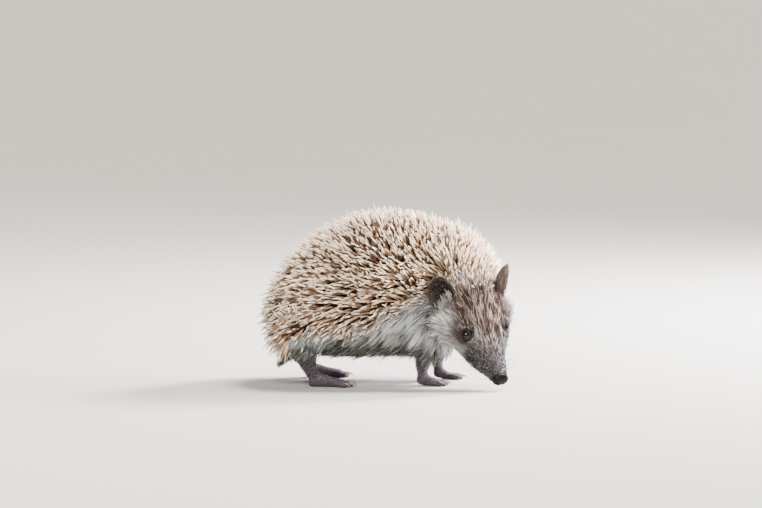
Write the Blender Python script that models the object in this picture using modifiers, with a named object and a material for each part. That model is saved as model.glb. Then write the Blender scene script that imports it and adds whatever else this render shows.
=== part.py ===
"""A hedgehog at life size, standing with its head turned to its right and its nose near the floor.

Frame: metres, +X forward along the trunk, +Y to the animal's left, +Z up, soles at Z = 0.
Each solid reaches out to the tips of the coat. Long forms are lofts: cross-sections with an oval
upper half and a fuller lower half, carried along an axis through a few rows of sizes.
"""
import math

import bmesh
import bpy
import numpy as np
from mathutils import Matrix, Vector

MM = 0.001

# Driving dimensions, in millimetres and degrees.
GAP = 0.3                       # clearance between two pieces that touch
SHIFT = (0.3, 3.8, 0.0)         # moves the middle of the box that holds the animal over the origin
FULLNESS = 0.86                 # below 1 squares the lower half of a section
BOX = 300.0                     # the side of a cube that cuts along a plane
UP = (0.0, 0.0, 1.0)
SIDES = ((1, "left"), (-1, "right"))

HEAD_ORIGIN = (59.3, -45.0, 35.0)   # the point midway between the eyes
HEAD_YAW = 29.3                 # the face turns from -Y towards +X
HEAD_PITCH = 45.7               # the nose points down
HEAD_ROLL = 11.8                # the left side of the head is the higher one

NECK_ORIGIN = (40.0, -12.0, 60.0)
NECK_FORWARD = (0.75, -0.62, -0.22)
CUT_AT = 31.0                   # where the cut between trunk and neck meets the middle line
CUT_SLANT = 0.4                 # how far forward that cut runs for each step to the left

EYE_SPACING = 24.6              # between the eyes' centres
EYE_RADIUS = 3.5
EAR_LENGTH = 25.0
EAR_WIDTH = 18.5
EAR_DEPTH = 4.4                 # how deep the ear is cupped
EAR_WALL = 1.6
NOSE_SIZE = (5.6, 10.4, 7.6)    # along, across and up

NOSE_CENTRE = (29.6, 0.0, -9.6)
NOSTRIL_SIZE = (3.4, 2.4, 1.6)
NOSTRIL_CENTRE = (32.0, 3.4, -9.4)
TOES = 5                        # on each foot
TOE_FAN = 13.0                  # the angle between two toes
TAIL_ORIGIN = (-60.0, 0.0, 19.0)
TAIL_FORWARD = (-1.0, 0.0, -0.9)

# Rows of a loft: along the axis, to the left, up, half width, height above and depth below.
TRUNK = (
    (-79.5, 0.0, 42.0, 0.0, 0.0, 0.0),
    (-77.3, 0.0, 42.0, 15.5, 14.5, 12.5),
    (-70.8, 0.0, 42.0, 28.5, 28.0, 21.5),
    (-60.0, 0.0, 42.0, 39.0, 41.0, 26.0),
    (-44.0, 0.0, 42.5, 47.0, 53.3, 27.5),
    (-25.0, 0.0, 43.0, 51.5, 62.2, 28.0),
    (-5.0, 0.0, 43.5, 52.0, 65.8, 28.0),
    (13.0, -0.5, 44.5, 48.5, 63.0, 28.0),
    (28.0, -2.5, 46.0, 41.0, 59.5, 27.5),
    (40.0, -5.5, 48.5, 31.5, 50.0, 26.5),
    (48.0, -8.0, 51.0, 18.0, 31.0, 18.0),
    (51.0, -9.0, 53.5, 0.0, 0.0, 0.0),
)
NECK = (
    (-36.0, 0.0, 0.0, 0.0, 0.0, 0.0),
    (-33.0, 0.0, 0.0, 19.0, 22.0, 18.0),
    (-20.0, 0.0, 0.0, 32.5, 39.0, 29.0),
    (-6.0, 0.0, 0.0, 35.0, 39.5, 36.0),
    (8.0, 0.0, -1.0, 32.0, 32.0, 35.0),
    (20.0, 0.0, -3.0, 25.5, 26.5, 28.0),
    (28.5, 0.0, -5.0, 15.5, 17.0, 18.0),
    (32.0, 0.0, -6.0, 0.0, 0.0, 0.0),
)
HEAD = (
    (-38.0, 0.0, -4.0, 0.0, 0.0, 0.0),
    (-35.8, 0.0, -4.0, 14.0, 15.0, 12.5),
    (-30.0, 0.0, -4.0, 22.0, 24.0, 20.5),
    (-21.5, 0.0, -4.5, 24.5, 23.5, 23.0),
    (-12.5, 0.0, -5.5, 22.6, 19.5, 21.5),
    (-4.0, 0.0, -6.5, 18.6, 15.4, 17.5),
    (4.0, 0.0, -7.5, 15.0, 12.2, 13.0),
    (12.0, 0.0, -8.3, 11.4, 8.6, 9.2),
    (19.5, 0.0, -9.0, 8.3, 6.0, 6.6),
    (26.0, 0.0, -9.5, 6.0, 4.6, 4.8),
    (30.0, 0.0, -9.8, 4.2, 3.4, 3.2),
    (31.4, 0.0, -9.8, 0.0, 0.0, 0.0),
)
JAW = (
    (-18.0, 0.0, -16.5, 0.0, 0.0, 0.0),
    (-15.5, 0.0, -16.5, 10.5, 6.5, 8.5),
    (-6.0, 0.0, -16.8, 15.0, 9.0, 11.5),
    (4.0, 0.0, -16.3, 13.6, 8.2, 9.6),
    (13.0, 0.0, -15.2, 10.2, 6.4, 7.4),
    (20.0, 0.0, -13.8, 7.0, 4.6, 5.4),
    (25.0, 0.0, -12.6, 4.6, 3.2, 3.6),
    (27.0, 0.0, -12.0, 0.0, 0.0, 0.0),
)
RUFF = (
    (-33.0, 0.0, -5.0, 0.0, 0.0, 0.0),
    (-31.0, 0.0, -5.0, 21.0, 12.0, 13.0),
    (-26.0, 0.0, -5.0, 27.0, 16.0, 18.5),
    (-19.0, 0.0, -5.0, 28.8, 17.0, 20.5),
    (-11.0, 0.0, -6.0, 26.0, 14.0, 19.5),
    (-3.0, 0.0, -7.5, 20.8, 11.0, 16.0),
    (5.0, 0.0, -8.5, 15.0, 8.0, 11.0),
    (12.0, 0.0, -9.0, 9.5, 5.5, 7.0),
    (14.0, 0.0, -9.0, 0.0, 0.0, 0.0),
)
TAIL = (
    (-9.0, 0.0, 0.0, 0.0, 0.0, 0.0),
    (-8.0, 0.0, 0.0, 3.6, 3.6, 3.6),
    (0.0, 0.0, 0.0, 3.9, 3.9, 3.9),
    (7.5, 0.0, 0.0, 2.8, 2.8, 2.8),
    (11.5, 0.0, 0.0, 1.5, 1.5, 1.5),
    (12.5, 0.0, 0.0, 0.0, 0.0, 0.0),
)

# A foot stands on its sole: rows run from the heel towards the toes.
HIND_SOLE = (
    (-4.5, 0.0, 4.2, 0.0, 0.0, 0.0),
    (-3.7, 0.0, 4.2, 2.6, 3.2, 4.2),
    (0.5, 0.0, 4.4, 4.0, 4.8, 5.0),
    (8.0, 0.0, 3.8, 4.3, 3.6, 4.4),
    (15.0, 0.0, 3.0, 5.2, 2.8, 3.6),
    (18.5, 0.0, 2.6, 4.8, 2.1, 3.2),
    (20.0, 0.0, 2.4, 0.0, 0.0, 0.0),
)
FORE_SOLE = (
    (-4.0, 0.0, 4.0, 0.0, 0.0, 0.0),
    (-3.2, 0.0, 4.0, 2.6, 3.0, 4.0),
    (0.5, 0.0, 4.0, 4.0, 4.2, 4.7),
    (5.0, 0.0, 3.4, 4.8, 3.2, 4.1),
    (9.0, 0.0, 2.8, 5.2, 2.5, 3.5),
    (11.5, 0.0, 2.5, 4.6, 1.9, 3.0),
    (13.0, 0.0, 2.4, 0.0, 0.0, 0.0),
)
# A toe and its claw, from inside the sole to the claw's tip.
TOE = (
    (-3.5, 0.0, 1.9, 0.0, 0.0, 0.0),
    (-2.8, 0.0, 1.9, 1.0, 1.0, 1.2),
    (1.5, 0.0, 2.0, 1.4, 1.4, 2.1),
    (4.6, 0.0, 1.8, 1.35, 1.3, 1.9),
    (6.0, 0.0, 1.9, 0.75, 0.8, 0.9),
    (8.0, 0.0, 1.7, 0.5, 0.6, 0.6),
    (10.2, 0.0, 0.7, 0.0, 0.0, 0.0),
)
# A leg hangs from inside the trunk; here "up" is towards the nose.
HIND_LEG = (
    (0.0, 0.0, 0.0, 0.0, 0.0, 0.0),
    (1.5, 0.0, 0.0, 4.0, 6.0, 6.0),
    (9.0, 0.0, 0.5, 5.6, 10.0, 8.5),
    (17.0, 0.0, 0.0, 5.2, 8.0, 7.6),
    (23.0, 0.0, -0.6, 4.2, 4.6, 4.6),
    (28.0, 0.0, 0.0, 3.2, 3.4, 3.4),
    (31.0, 0.0, 0.0, 0.0, 0.0, 0.0),
)
FORE_LEG = (
    (0.0, 0.0, 0.0, 0.0, 0.0, 0.0),
    (1.5, 0.0, 0.0, 5.5, 6.0, 6.0),
    (8.0, 0.0, 0.0, 7.0, 8.0, 8.0),
    (16.0, 0.0, 0.0, 5.4, 6.0, 6.0),
    (22.0, 0.0, 0.0, 3.9, 4.2, 4.2),
    (28.0, 0.0, 0.0, 3.2, 3.4, 3.4),
    (31.0, 0.0, 0.0, 0.0, 0.0, 0.0),
)
# Each kind of limb: its sole, its leg, where its toes root, and how far the leg leans forward.
HIND_LIMB = (HIND_SOLE, HIND_LEG, 16.5, 0.36)
FORE_LIMB = (FORE_SOLE, FORE_LEG, 9.5, -0.1)
LEG_HEIGHT = 35.0               # where each leg's axis starts inside the trunk
ANKLE_HEIGHT = 4.0
# Where each ankle stands, and the angle by which the foot's toes turn to the left.
FEET = {
    "hind_right": (-44.5, -27.5, -7.0),
    "hind_left": (-47.0, 27.5, 9.0),
    "front_right": (21.0, -21.0, -6.0),
    "front_left": (31.0, 17.0, 4.0),
}


def start_empty():
    """Removes what the scene holds and makes the two collections."""
    for old in list(bpy.data.objects):
        bpy.data.objects.remove(old, do_unlink=True)
    groups = []
    for name in ("hedgehog", "cutters"):
        group = bpy.data.collections.new(name)
        bpy.context.scene.collection.children.link(group)
        groups.append(group)
    return groups


def paint(name, colour, roughness):
    """A plain Principled material."""
    material = bpy.data.materials.new(name)
    material.use_nodes = True
    shader = material.node_tree.nodes["Principled BSDF"]
    shader.inputs["Base Color"].default_value = (*colour, 1.0)
    shader.inputs["Roughness"].default_value = roughness
    shader.inputs["Metallic"].default_value = 0.0
    return material


def turned_frame(forward, upright):
    """Three unit axes as rows: forward, left and up, with up as near to upright as it can be."""
    forward = Vector(forward).normalized()
    left = Vector(upright).cross(forward).normalized()
    return np.array((forward, left, forward.cross(left)))


def head_frame():
    """The head's axes from its yaw, pitch and roll."""
    yaw, pitch, roll = (math.radians(angle) for angle in (HEAD_YAW, HEAD_PITCH, HEAD_ROLL))
    forward = Vector((math.cos(pitch) * math.sin(yaw),
                      -math.cos(pitch) * math.cos(yaw),
                      -math.sin(pitch)))
    level = turned_frame(forward, UP)
    tilt = Matrix.Rotation(roll, 3, forward)
    return np.array((forward, tilt @ Vector(level[1]), tilt @ Vector(level[2])))


def place(points, origin, axes):
    """Takes points in a frame, in millimetres, to the world, in metres."""
    return (np.asarray(points) @ axes + np.asarray(origin) + np.asarray(SHIFT)) * MM


def natural_spline(rows, count):
    """A cubic through every row, free of bend at both ends, read at even steps."""
    rows = np.array(rows, dtype=float)
    last = len(rows) - 1
    system = np.eye(last + 1)
    load = np.zeros_like(rows)
    for i in range(1, last):
        system[i, i - 1:i + 2] = (1.0, 4.0, 1.0)
        load[i] = 6.0 * (rows[i - 1] - 2.0 * rows[i] + rows[i + 1])
    bend = np.linalg.solve(system, load)
    steps = np.linspace(0.0, last, count)
    cell = np.minimum(steps.astype(int), last - 1)
    after = (steps - cell)[:, None]
    before = 1.0 - after
    return (before * rows[cell] + after * rows[cell + 1]
            + ((before**3 - before) * bend[cell] + (after**3 - after) * bend[cell + 1]) / 6.0)


def loft(name, rows, origin, axes, rings, sides, grow=0.0):
    """A closed skin over the rows: sections round the axis, and a pole at each end."""
    sections = natural_spline(rows, rings)
    poles = sections[[0, -1], :3]
    poles[:, 0] += (-grow, grow)
    along, left, height, wide, above, below = (column[:, None] for column in sections[1:-1].T)
    turn = 2.0 * math.pi * np.arange(sides) / sides
    across = np.cos(turn)[None, :]
    rise = np.sin(turn)[None, :]
    squared = np.sign(across) * np.abs(across) ** FULLNESS
    sunk = -np.abs(rise) ** FULLNESS
    upper = rise >= 0.0
    side = left + (np.abs(wide) + grow) * np.where(upper, across, squared)
    top = height + np.where(upper, (above + grow) * rise, (below + grow) * sunk)
    shell = np.stack(np.broadcast_arrays(along, side, top), axis=-1).reshape(-1, 3)
    points = place(np.vstack((shell, poles)), origin, axes)
    tail, nose = len(shell), len(shell) + 1
    faces = []
    for j in range(sides):
        k = (j + 1) % sides
        faces.append((tail, k, j))
        faces.append((nose, len(shell) - sides + j, len(shell) - sides + k))
        for i in range(rings - 3):
            near, far = i * sides, (i + 1) * sides
            faces.append((near + j, near + k, far + k, far + j))
    mesh = bpy.data.meshes.new(name)
    mesh.from_pydata(points.tolist(), [], faces)
    face_outwards(mesh)
    return mesh


def face_outwards(mesh):
    """Turns the faces of a closed mesh outwards and shades it smooth."""
    shape = bmesh.new()
    shape.from_mesh(mesh)
    bmesh.ops.recalc_face_normals(shape, faces=shape.faces)
    shape.to_mesh(mesh)
    shape.free()
    mesh.shade_smooth()


def ball(name, centre, sizes, origin, axes, sides, grow=0.0):
    """A sphere primitive, stretched to its three sizes in a frame."""
    shape = bmesh.new()
    bmesh.ops.create_uvsphere(shape, u_segments=sides, v_segments=sides * 2 // 3, radius=1.0)
    mesh = bpy.data.meshes.new(name)
    shape.to_mesh(mesh)
    shape.free()
    sphere = np.array([vertex.co[:] for vertex in mesh.vertices])
    sphere = sphere * (np.asarray(sizes) / 2.0 + grow) + np.asarray(centre)
    mesh.vertices.foreach_set("co", place(sphere, origin, axes).ravel())
    face_outwards(mesh)
    return mesh


def add_part(group, name, mesh, material):
    """One named sub-part with its own material."""
    part = bpy.data.objects.new(name, mesh)
    mesh.materials.append(material)
    group.objects.link(part)
    return part


def add_cutter(group, name, mesh):
    """A shape that only cuts or joins others."""
    tool = bpy.data.objects.new(name, mesh)
    tool.hide_render = True
    tool.display_type = "WIRE"
    group.objects.link(tool)
    return tool


def combine(part, tool, operation, islands=False):
    """Cuts the tool out of the part, or joins it; islands tells of a tool that crosses itself."""
    modifier = part.modifiers.new(operation.lower() + "_" + tool.name, "BOOLEAN")
    modifier.operation = operation
    modifier.object = tool
    modifier.solver = "EXACT"
    modifier.use_self = islands


def ear_frame(side, head):
    """The ear's middle, and its axes out of its hollow, across it, and along it to its tip."""
    along = Vector((-0.36, side * 0.05, 0.92)).normalized()
    across = along.cross(Vector((0.62, side * 0.76, 0.18))).normalized()
    axes = np.array((across.cross(along), across, along)) @ head
    centre = np.array((-25.5, side * 20.6, 10.2)) @ head + np.asarray(HEAD_ORIGIN)
    return centre, axes


def ear_mesh(name, origin, axes):
    """A cupped oval leaf: the depth falls off with the square of the distance from its middle."""
    rings, sides = 4, 18
    radius = np.linspace(0.0, 1.0, rings + 1)[1:, None]
    turn = (2.0 * math.pi * np.arange(sides) / sides)[None, :]
    across = radius * np.cos(turn) * EAR_WIDTH / 2.0
    along = radius * np.sin(turn) * EAR_LENGTH / 2.0
    depth = -EAR_DEPTH * (1.0 - radius**2) + 0.0 * turn
    leaf = np.stack((depth, across, along), axis=-1).reshape(-1, 3)
    leaf = np.vstack((leaf, (-EAR_DEPTH, 0.0, 0.0)))
    middle = len(leaf) - 1
    faces = [(middle, j, (j + 1) % sides) for j in range(sides)]
    for i in range(rings - 1):
        for j in range(sides):
            k = (j + 1) % sides
            faces.append((i * sides + j, (i + 1) * sides + j, (i + 1) * sides + k, i * sides + k))
    mesh = bpy.data.meshes.new(name)
    mesh.from_pydata(place(leaf, origin, axes).tolist(), [], faces)
    mesh.shade_smooth()
    return mesh


def ear_bed(name, origin, axes):
    """The room round an ear: it follows the back of the cup, then runs out past the rim."""
    margin = EAR_WALL / 2.0 + GAP
    wide, tall = EAR_WIDTH / 2.0, EAR_LENGTH / 2.0
    rows = [(-EAR_DEPTH - margin, 0.0, 0.0, 0.0, 0.0, 0.0)]
    for share in (0.4, 0.75, 1.0):
        depth = -(EAR_DEPTH + margin) * (1.0 - share**2)
        length = share * tall + margin
        rows.append((depth, 0.0, 0.0, share * wide + margin, length, length))
    rows.append((4.0, 0.0, 0.0, wide, tall, tall))
    rows.append((8.0, 0.0, 0.0, wide * 0.6, tall * 0.6, tall * 0.6))
    rows.append((9.0, 0.0, 0.0, 0.0, 0.0, 0.0))
    return loft(name, rows, origin, axes, 12, 18)


def toes_mesh(name, reach, origin, axes):
    """Five toes with their claws, fanned out from the front of the sole, as one mesh."""
    shape = bmesh.new()
    for number in range(TOES):
        fan = number - (TOES - 1) / 2.0
        angle = math.radians(TOE_FAN * fan)
        forward = Vector((math.cos(angle), math.sin(angle), 0.0))
        toe_axes = turned_frame(forward, UP) @ axes
        root = np.array((reach - 0.55 * fan**2, 1.95 * fan, 0.0)) @ axes + np.asarray(origin)
        mesh = loft(name, TOE, root, toe_axes, rings=8, sides=6)
        shape.from_mesh(mesh)
        bpy.data.meshes.remove(mesh)
    mesh = bpy.data.meshes.new(name)
    shape.to_mesh(mesh)
    shape.free()
    mesh.shade_smooth()
    return mesh


def box(name, middle, turn=0.0):
    """A large cube that removes everything on one side of a plane."""
    shape = bmesh.new()
    spin = Matrix.Rotation(turn, 4, "Z")
    centre = Matrix.Translation(Vector(middle) * MM)
    bmesh.ops.create_cube(shape, size=BOX * MM, matrix=centre @ spin)
    mesh = bpy.data.meshes.new(name)
    shape.to_mesh(mesh)
    shape.free()
    return mesh


class Builder:
    """Holds the two collections, the head's axes and the materials."""

    def __init__(self):
        self.parts, self.cutters = start_empty()
        self.head = head_frame()
        self.neck = turned_frame(NECK_FORWARD, UP)
        self.spines = paint("spines", (0.62, 0.52, 0.42), 0.6)
        self.fur = paint("fur", (0.55, 0.50, 0.44), 0.85)
        self.face = paint("face", (0.36, 0.28, 0.23), 0.8)
        self.skin = paint("skin", (0.20, 0.17, 0.18), 0.6)
        self.dark = paint("dark_skin", (0.05, 0.045, 0.045), 0.45)
        self.wet = paint("wet", (0.01, 0.01, 0.012), 0.15)

    def part(self, name, mesh, material):
        return add_part(self.parts, name, mesh, material)

    def cutter(self, name, mesh):
        return add_cutter(self.cutters, name, mesh)

    def trunk_loft(self, name, grow=0.0):
        return loft(name, TRUNK, (0.0, 0.0, 0.0), np.eye(3), 26, 32, grow)

    def neck_loft(self, name, grow=0.0):
        return loft(name, NECK, NECK_ORIGIN, self.neck, 18, 24, grow)

    def head_loft(self, name, grow=0.0):
        return loft(name, HEAD, HEAD_ORIGIN, self.head, 23, 24, grow)

    def jaw_loft(self, name, grow=0.0):
        return loft(name, JAW, HEAD_ORIGIN, self.head, 12, 16, grow)

    def ruff_loft(self, name, grow=0.0):
        return loft(name, RUFF, HEAD_ORIGIN, self.head, 14, 24, grow)

    def in_head(self, name, centre, sizes, sides, grow=0.0):
        return ball(name, centre, sizes, HEAD_ORIGIN, self.head, sides, grow)

    def build_cutters(self):
        """What the neighbours keep clear of: each form again, larger by the gap."""
        self.trunk_gap = self.cutter("trunk_gap", self.trunk_loft("trunk_gap", GAP))
        self.neck_gap = self.cutter("neck_gap", self.neck_loft("neck_gap", GAP))
        self.head_gap = self.cutter("head_gap", self.head_loft("head_gap", GAP))
        self.jaw_gap = self.cutter("jaw_gap", self.jaw_loft("jaw_gap", GAP))
        self.ruff_gap = self.cutter("ruff_gap", self.ruff_loft("ruff_gap", GAP))
        self.floor = self.cutter("floor", box("floor", (0.0, 0.0, -BOX / 2.0)))

    def build_body(self):
        """Trunk and neck are one form, parted by a thin upright cut in front of the shoulders."""
        angle = math.atan2(-CUT_SLANT, 1.0)
        reach = BOX / 2.0
        middle = np.array((CUT_AT, 0.0, 0.0)) + np.asarray(SHIFT)
        ahead = np.array((math.cos(angle), math.sin(angle), 0.0))
        front = box("front", middle + ahead * (reach - GAP / 2.0), angle)
        rear = box("rear", middle - ahead * (reach - GAP / 2.0), angle)
        self.trunk = self.part("trunk", self.trunk_loft("trunk"), self.spines)
        whole_neck = self.cutter("whole_neck", self.neck_loft("whole_neck"))
        combine(self.trunk, whole_neck, "UNION")
        combine(self.trunk, self.cutter("front", front), "DIFFERENCE")
        self.nape = self.part("neck", self.neck_loft("neck"), self.fur)
        whole_trunk = self.cutter("whole_trunk", self.trunk_loft("whole_trunk"))
        combine(self.nape, whole_trunk, "UNION")
        combine(self.nape, self.cutter("rear", rear), "DIFFERENCE")
        for gap in (self.head_gap, self.jaw_gap, self.ruff_gap):
            combine(self.nape, gap, "DIFFERENCE")

    def build_head(self):
        """The skull with the lower jaw under it and the fur of the cheeks round it."""
        self.skull = self.part("head", self.head_loft("head"), self.face)
        combine(self.skull, self.cutter("jaw", self.jaw_loft("jaw")), "UNION")
        combine(self.skull, self.cutter("ruff", self.ruff_loft("ruff")), "UNION")

    def build_nose(self):
        """The bare nose pad, with a nostril on each side."""
        nose = self.part("nose", self.in_head("nose", NOSE_CENTRE, NOSE_SIZE, 14), self.wet)
        bed = self.cutter("nose_gap", self.in_head("nose_gap", NOSE_CENTRE, NOSE_SIZE, 14, GAP))
        combine(self.skull, bed, "DIFFERENCE")
        for side, hand in SIDES:
            name = "nostril_" + hand
            centre = (NOSTRIL_CENTRE[0], side * NOSTRIL_CENTRE[1], NOSTRIL_CENTRE[2])
            combine(nose, self.cutter(name, self.in_head(name, centre, NOSTRIL_SIZE, 8)), "DIFFERENCE")

    def build_eye(self, side, hand):
        """A ball in a socket that it nearly fills."""
        centre = (0.0, side * EYE_SPACING / 2.0, 0.0)
        size = (2.0 * EYE_RADIUS,) * 3
        self.part("eye_" + hand, self.in_head("eye_" + hand, centre, size, 12), self.wet)
        socket = self.in_head("socket_" + hand, centre, size, 12, GAP)
        combine(self.skull, self.cutter("socket_" + hand, socket), "DIFFERENCE")

    def build_ear(self, side, hand):
        """A cupped ear whose bed is hollowed out of the head and the neck."""
        middle, turn = ear_frame(side, self.head)
        ear = self.part("ear_" + hand, ear_mesh("ear_" + hand, middle, turn), self.dark)
        wall = ear.modifiers.new("wall", "SOLIDIFY")
        wall.thickness = EAR_WALL * MM
        wall.offset = 0.0
        bed = self.cutter("bed_" + hand, ear_bed("bed_" + hand, middle, turn))
        combine(self.skull, bed, "DIFFERENCE")
        combine(self.nape, bed, "DIFFERENCE")

    def build_tail(self):
        """The short tail, mostly hidden under the rump."""
        axes = turned_frame(TAIL_FORWARD, UP)
        tail = self.part("tail", loft("tail", TAIL, TAIL_ORIGIN, axes, 10, 12), self.skin)
        combine(tail, self.trunk_gap, "DIFFERENCE")

    def build_limb(self, name, ankle, across, turn):
        """A foot with five clawed toes and a flat sole, and the leg that stands on it."""
        fore = name.startswith("front")
        sole, limb, reach, lean = FORE_LIMB if fore else HIND_LIMB
        angle = math.radians(turn)
        axes = turned_frame((math.cos(angle), math.sin(angle), 0.0), UP)
        stand = (ankle, across, 0.0)
        foot = self.part("foot_" + name, loft("foot_" + name, sole, stand, axes, 10, 12), self.skin)
        toes = self.cutter("toes_" + name, toes_mesh("toes_" + name, reach, stand, axes))
        combine(foot, toes, "UNION", islands=True)
        combine(foot, self.floor, "DIFFERENCE")
        foot_gap = loft("foot_gap_" + name, sole, stand, axes, 10, 12, GAP)
        down = turned_frame((lean, 0.0, -1.0), (1.0, 0.0, 0.0))
        hip = (ankle - lean * (LEG_HEIGHT - ANKLE_HEIGHT), across, LEG_HEIGHT)
        leg = self.part("leg_" + name, loft("leg_" + name, limb, hip, down, 12, 12), self.skin)
        combine(leg, self.trunk_gap, "DIFFERENCE")
        if fore:
            for gap in (self.neck_gap, self.jaw_gap, self.ruff_gap):
                combine(leg, gap, "DIFFERENCE")
        combine(leg, self.cutter("foot_gap_" + name, foot_gap), "DIFFERENCE")


def main():
    builder = Builder()
    builder.build_cutters()
    builder.build_body()
    builder.build_head()
    builder.build_nose()
    for side, hand in SIDES:
        builder.build_eye(side, hand)
        builder.build_ear(side, hand)
    builder.build_tail()
    for name, (ankle, across, turn) in FEET.items():
        builder.build_limb(name, ankle, across, turn)


main()
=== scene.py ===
import math

import bmesh
import bpy
import numpy as np
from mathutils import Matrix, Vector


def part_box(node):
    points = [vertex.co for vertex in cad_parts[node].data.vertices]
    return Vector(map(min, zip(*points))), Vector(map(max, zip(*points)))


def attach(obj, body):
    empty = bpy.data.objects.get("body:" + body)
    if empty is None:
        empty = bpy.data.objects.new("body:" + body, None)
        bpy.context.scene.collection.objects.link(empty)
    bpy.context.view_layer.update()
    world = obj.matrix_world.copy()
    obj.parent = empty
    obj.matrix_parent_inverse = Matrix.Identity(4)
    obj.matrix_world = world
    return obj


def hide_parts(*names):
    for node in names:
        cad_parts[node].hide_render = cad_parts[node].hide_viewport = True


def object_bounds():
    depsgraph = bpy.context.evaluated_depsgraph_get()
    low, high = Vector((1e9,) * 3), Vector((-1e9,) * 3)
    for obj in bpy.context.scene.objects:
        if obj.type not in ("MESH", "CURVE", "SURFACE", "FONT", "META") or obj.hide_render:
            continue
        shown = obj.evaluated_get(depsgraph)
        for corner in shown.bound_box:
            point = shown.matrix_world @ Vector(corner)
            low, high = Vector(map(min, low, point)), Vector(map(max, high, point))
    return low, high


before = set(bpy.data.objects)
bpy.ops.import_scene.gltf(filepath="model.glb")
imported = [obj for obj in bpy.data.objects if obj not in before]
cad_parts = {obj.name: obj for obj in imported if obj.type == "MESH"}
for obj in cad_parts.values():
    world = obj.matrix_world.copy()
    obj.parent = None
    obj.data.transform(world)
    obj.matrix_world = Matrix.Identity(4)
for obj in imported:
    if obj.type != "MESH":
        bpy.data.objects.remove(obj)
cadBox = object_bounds()

mm = 0.001              # shapes are worked out in millimetres and made in metres
body = "root"
rng = np.random.default_rng(11)
bothSides = (1.0, -1.0)      # left and right


# Small helpers: vectors, curves, grids and meshes.

def unit(v):
    # v / |v|, row by row
    v = np.asarray(v, dtype=float)
    return v / np.maximum(np.linalg.norm(v, axis=-1, keepdims=True), 1e-12)


def ease(x, low, high):
    # 3t² - 2t³ with t going from 0 at low to 1 at high
    t = np.clip((np.asarray(x, dtype=float) - low) / (high - low), 0.0, 1.0)
    return t * t * (3.0 - 2.0 * t)


def hump(x, middle, width):
    # exp(-((x - middle) / width)²)
    return np.exp(-((x - middle) / width) ** 2)


def boxMiddle(node):
    # the middle of a CAD node's box, in millimetres
    low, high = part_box(node)
    return np.array((low + high) / 2.0) / mm


def turnedAxes(forward, upright):
    # rows: forward, left and up, with up as near to upright as it can be
    forward = unit(forward)
    left = unit(np.cross(upright, forward))
    return np.array((forward, left, np.cross(forward, left)))


def curveThrough(rows, count):
    # natural cubic spline: y = a y0 + b y1 + ((a³ - a) m0 + (b³ - b) m1) / 6, read at even steps
    rows = np.array(rows, dtype=float)
    last = len(rows) - 1
    inner = np.arange(1, last)
    system = np.eye(last + 1)
    for offset, weight in ((-1, 1.0), (0, 4.0), (1, 1.0)):
        system[inner, inner + offset] = weight
    pull = np.zeros_like(rows)
    pull[1:-1] = 6.0 * (rows[:-2] - 2.0 * rows[1:-1] + rows[2:])
    bend = np.linalg.solve(system, pull)
    steps = np.linspace(0.0, last, count)
    cell = np.minimum(steps.astype(int), last - 1)
    b = (steps - cell)[:, None]
    a = 1.0 - b
    return (a * rows[cell] + b * rows[cell + 1]
            + ((a ** 3 - a) * bend[cell] + (b ** 3 - b) * bend[cell + 1]) / 6.0)


def gridFaces(rows, columns):
    # the quads of a grid of points whose last column joins its first
    i, j = np.meshgrid(np.arange(rows - 1), np.arange(columns), indexing="ij")
    k = (j + 1) % columns
    corners = (i * columns + j, i * columns + k, (i + 1) * columns + k, (i + 1) * columns + j)
    return np.stack(corners, -1).reshape(-1, 4)


def around(sides):
    # the angle of each column of a grid, once round
    return 2.0 * np.pi * np.arange(sides)[None, :] / sides


def gridPoints(x, y, z):
    # the points of a grid, row after row
    return np.stack(np.broadcast_arrays(x, y, z), -1).reshape(-1, 3)


def ballPoints(radius, b, a):
    # radius (cos b, sin b cos a, sin b sin a)
    return gridPoints(radius * np.cos(b), radius * np.sin(b) * np.cos(a), radius * np.sin(b) * np.sin(a))


fullness = 0.86              # how round the underside of a loft is: 1 for an ellipse, less for a fuller form


def loft(rows, origin, axes, rings, sides):
    # section at each step: (x, y + w cos a, z + h sin a) above, and |sin a|^fullness times the depth below
    x, y, z, wide, above, below = (column[:, None] for column in curveThrough(rows, rings).T)
    wide, above, below = (np.maximum(size, 0.0) for size in (wide, above, below))
    turn = around(sides)
    c, s = np.cos(turn), np.sin(turn)
    squared = np.sign(c) * np.abs(c) ** fullness
    left = y + wide * np.where(s >= 0.0, c, squared)
    up = z + np.where(s >= 0.0, above * s, -below * np.abs(s) ** fullness)
    return gridPoints(x, left, up) @ axes + origin, gridFaces(rings, sides)


def joined(shapes):
    # several (points, quads) as one
    points, faces, count = [], [], 0
    for somePoints, someFaces in shapes:
        points.append(somePoints)
        faces.append(someFaces + count)
        count += len(somePoints)
    return np.vstack(points), np.vstack(faces)


def meshFrom(name, points, faces):
    # a smooth mesh of points in millimetres, all faces with the same number of corners
    mesh = bpy.data.meshes.new(name)
    mesh.vertices.add(len(points))
    mesh.vertices.foreach_set("co", (points * mm).astype(np.float32).ravel())
    mesh.loops.add(faces.size)
    mesh.loops.foreach_set("vertex_index", faces.astype(np.int32).ravel())
    mesh.polygons.add(len(faces))
    mesh.polygons.foreach_set("loop_start", np.arange(0, faces.size, faces.shape[1], dtype=np.int32))
    mesh.update(calc_edges=True)
    mesh.validate()
    mesh.shade_smooth()
    return mesh


def addPiece(name, mesh, material):
    # a visible piece that rides on the body
    piece = bpy.data.objects.new(name, mesh)
    bpy.context.scene.collection.objects.link(piece)
    mesh.materials.append(material)
    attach(piece, body)
    return piece


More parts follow.
